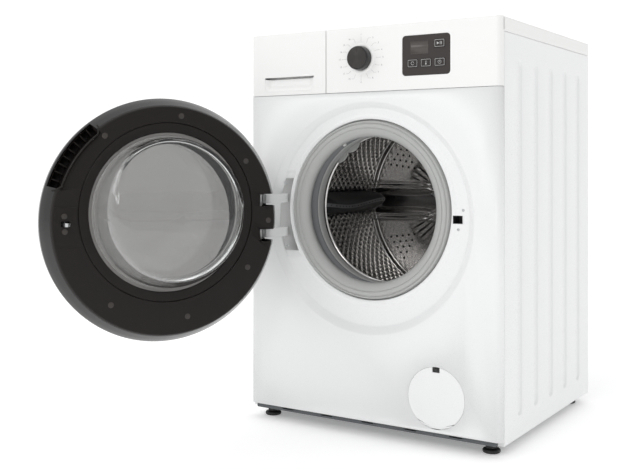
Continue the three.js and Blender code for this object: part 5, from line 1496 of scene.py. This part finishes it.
def rear_fittings():
    back = (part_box("rear_panel")[1].y - front_y) / MM
    x, z = -262, 765
    thread = [(6, back + 13.6), (8, back + 14), (10, back + 14)]
    for k in range(16):
        thread += [(10.9, back + 13.2 - 1.8 * k / 2), (10.1, back + 12.75 - 1.8 * k / 2)]
    thread += [(10.9, back - 2), (10.9, back - 10)]
    port = turned(thread + [(8, back - 10), (8, back + 10), (6, back + 13.6)], 40, x * MM, z * MM)
    stub = turned([(0, 499), (6.4, 499), (6.4, 484), (5.6, 483), (0, 483)], 32, x * MM, z * MM)
    block = mesh_piece("inlet_valve_body", *box((x - 18) * MM, (x + 18) * MM, front_y + 498 * MM,
                                                front_y + (back - 1.6) * MM, (z - 20) * MM, (z + 20) * MM),
                       white_nylon)
    coil = mesh_piece("inlet_valve_coil", *box((x - 14) * MM, (x + 14) * MM, front_y + 506 * MM,
                                               front_y + 534 * MM, (z + 19) * MM, (z + 36) * MM),
                      motor_paint)
    soften(block, 2.5 * MM, 4)
    soften(coil, 1.5 * MM, 3)
    fit(block, "cabinet", ["inlet_valve"])
    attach(coil, "cabinet")
    necks = mesh_piece("inlet_valve_ports", *gather(port, stub), white_nylon)
    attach(necks, "cabinet")
    flange = [(8.2, back - 22), (11, back - 22), (11, back + 0.2), (15.4, back + 0.2), (16, back + 0.8),
              (15.8, back + 2.6), (12.4, back + 3.6), (11.4, back + 6), (11.8, back + 8),
              (10.8, back + 9.4), (11.4, back + 12), (10.4, back + 15.8), (8.2, back + 16),
              (8.2, back - 22)]
    spigot = mesh_piece("drain_spigot", *turned(flange, 48, 245 * MM, 170 * MM), grey_pp, 40)
    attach(spigot, "cabinet")
    path = [(222.5, 135, 112), (236, 135, 112), (248, 145, 116), (256, 165, 122), (263, 196, 132),
            (264, 230, 140), (264, 320, 152), (264, 400, 165), (258, 450, 170), (250, 490, 170),
            (245, 524, 170)]
    tube = bead("drain_tube", smooth_path(path, 260), [11 - 0.9 * (k % 4 > 1) for k in range(261)],
                hose_rubber, "cabinet", 20)
    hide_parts("drain_hose")
    ridges = [(4.6, back - 9.8), (9.2, back - 9.8), (9.5, back - 2), (9.2, back + 0.2), (13.4, back + 0.3),
              (13.9, back + 1), (13.8, back + 3.4), (12.6, back + 4.2), (10.4, back + 5.6),
              (10.2, back + 7.2), (8.8, back + 7.8), (8.8, back + 9.4), (7.6, back + 10),
              (7.4, back + 11.8), (4.6, back + 11.9), (4.6, back - 9.8)]
    gland = mesh_piece("cord_outlet_gland", *turned(ridges, 48, 215 * MM, 765 * MM), black_rubber, 40)
    fit(gland, "cabinet", ["cord_gland"])


rear_fittings()

# ---- base, drawer box, pump, lock and board ----
# Injection mouldings and the circuit board, seen only with a panel off: a grey base tray, a pale drawer
# housing, a black door lock, the drain pump with its blue filter cap, and a green epoxy board.
pale_pp = grain(finish_of("moulded_pale_grey_pp", "CBD0D4", 0.42, IOR=1.49), 1.0, 0.02, (0.36, 0.5))
milky_pp = grain(finish_of("moulded_milky_pp", "E6EAEC", 0.34, IOR=1.49), 1.0, 0.015, (0.28, 0.4))
blue_pp = grain(finish_of("moulded_blue_pp", "3A78A2", 0.4, IOR=1.49), 1.0, 0.02, (0.34, 0.48))
epoxy_board = grain(finish_of("green_epoxy_laminate", "2B6238", 0.38, IOR=1.55), 0.7, 0.01, (0.3, 0.46))
coated(grey_pp, "base_frame", "drain_pump", edge=0.8)
coated(pale_pp, "drawer_housing", edge=0.5)
coated(milky_pp, "drawer_tray", edge=0.5)
coated(black_nylon, "door_lock", edge=0.5)
coated(blue_pp, "filter_cap", edge=0.8)
coated(epoxy_board, "control_board", edge=0.2)


def lock_nuts():
    for name in ("front_left", "front_right", "rear_left", "rear_right"):
        a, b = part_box(f"foot_{name}")
        x, d = (a.x + b.x) / 2 / MM, ((a.y + b.y) / 2 - front_y) / MM
        nut = mesh_piece(f"foot_lock_nut_{name}",
                         *upright(x, d, [(5.05, 16.4), (8.6, 16.4), (9.2, 17), (9.2, 20), (8.6, 20.6),
                                         (5.05, 20.6), (5.05, 16.4)], 6), zinc_plate)
        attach(nut, "foot_" + "".join(word[0] for word in name.split("_")))


lock_nuts()

# ---- light, floor and camera ----
# A pale sheet of studio floor, one large soft light above and in front, a weaker one from the right, and
# the camera at standing height, level, off the right front corner.
def studio():
    floor = mesh_piece("studio_floor", [(-9, -9, 0), (9, -9, 0), (9, 9, 0), (-9, 9, 0)], [(0, 1, 2, 3)],
                       finish_of("studio_paper", "FBFBFB", 0.9, Emission_Color=(1, 1, 1, 1),
                                 Emission_Strength=0.24))
    bpy.context.scene.view_settings.view_transform = "Standard"
    world = bpy.data.worlds.new("studio")
    bpy.context.scene.world = world
    world.use_nodes = True
    tree = world.node_tree
    # The cyclorama behind the object is lit to white, and falls off towards the ceiling, the front and the
    # right.
    place = node(tree, "TexCoord")
    split = node(tree, "SeparateXYZ", Vector=(place, "Generated"))
    right = node(tree, "Math", {"operation": "MULTIPLY_ADD"}, i0=(split, "X"), i1=-0.13, i2=0.93)
    rear = node(tree, "Math", {"operation": "MULTIPLY_ADD"}, i0=(split, "Y"), i1=0.17, i2=(right, "Value"))
    high = node(tree, "Math", {"operation": "MULTIPLY_ADD"}, i0=(split, "Z"), i1=-0.12, i2=(rear, "Value"))
    tree.nodes["Background"].inputs["Color"].default_value = (1, 1, 1, 1)
    tree.links.new(high.outputs["Value"], tree.nodes["Background"].inputs["Strength"])
    for name, size, power, place, aim in (("key", 1.6, 15, (-1.8, -2.6, 2.6), (0, 0, 0.5)),
                                          ("porthole", 0.5, 5, (0.2, -2.3, 1.5), (0, 0, 0.45))):
        lamp = bpy.data.lights.new(name, "AREA")
        lamp.size = size
        lamp.energy = power
        held = bpy.data.objects.new(name, lamp)
        held.location = place
        held.rotation_euler = (Vector(aim) - Vector(place)).to_track_quat("-Z", "Y").to_euler()
        bpy.context.scene.collection.objects.link(held)
    eye = bpy.data.cameras.new("camera")
    eye.lens = 54.84
    eye.sensor_width = 36
    eye.shift_y = -0.117
    stand = bpy.data.objects.new("camera", eye)
    stand.location = (0.9944, -2.0009, 0.5699)
    stand.rotation_euler = (math.radians(90), 0, math.radians(32.94))
    bpy.context.scene.collection.objects.link(stand)
    bpy.context.scene.camera = stand


studio()
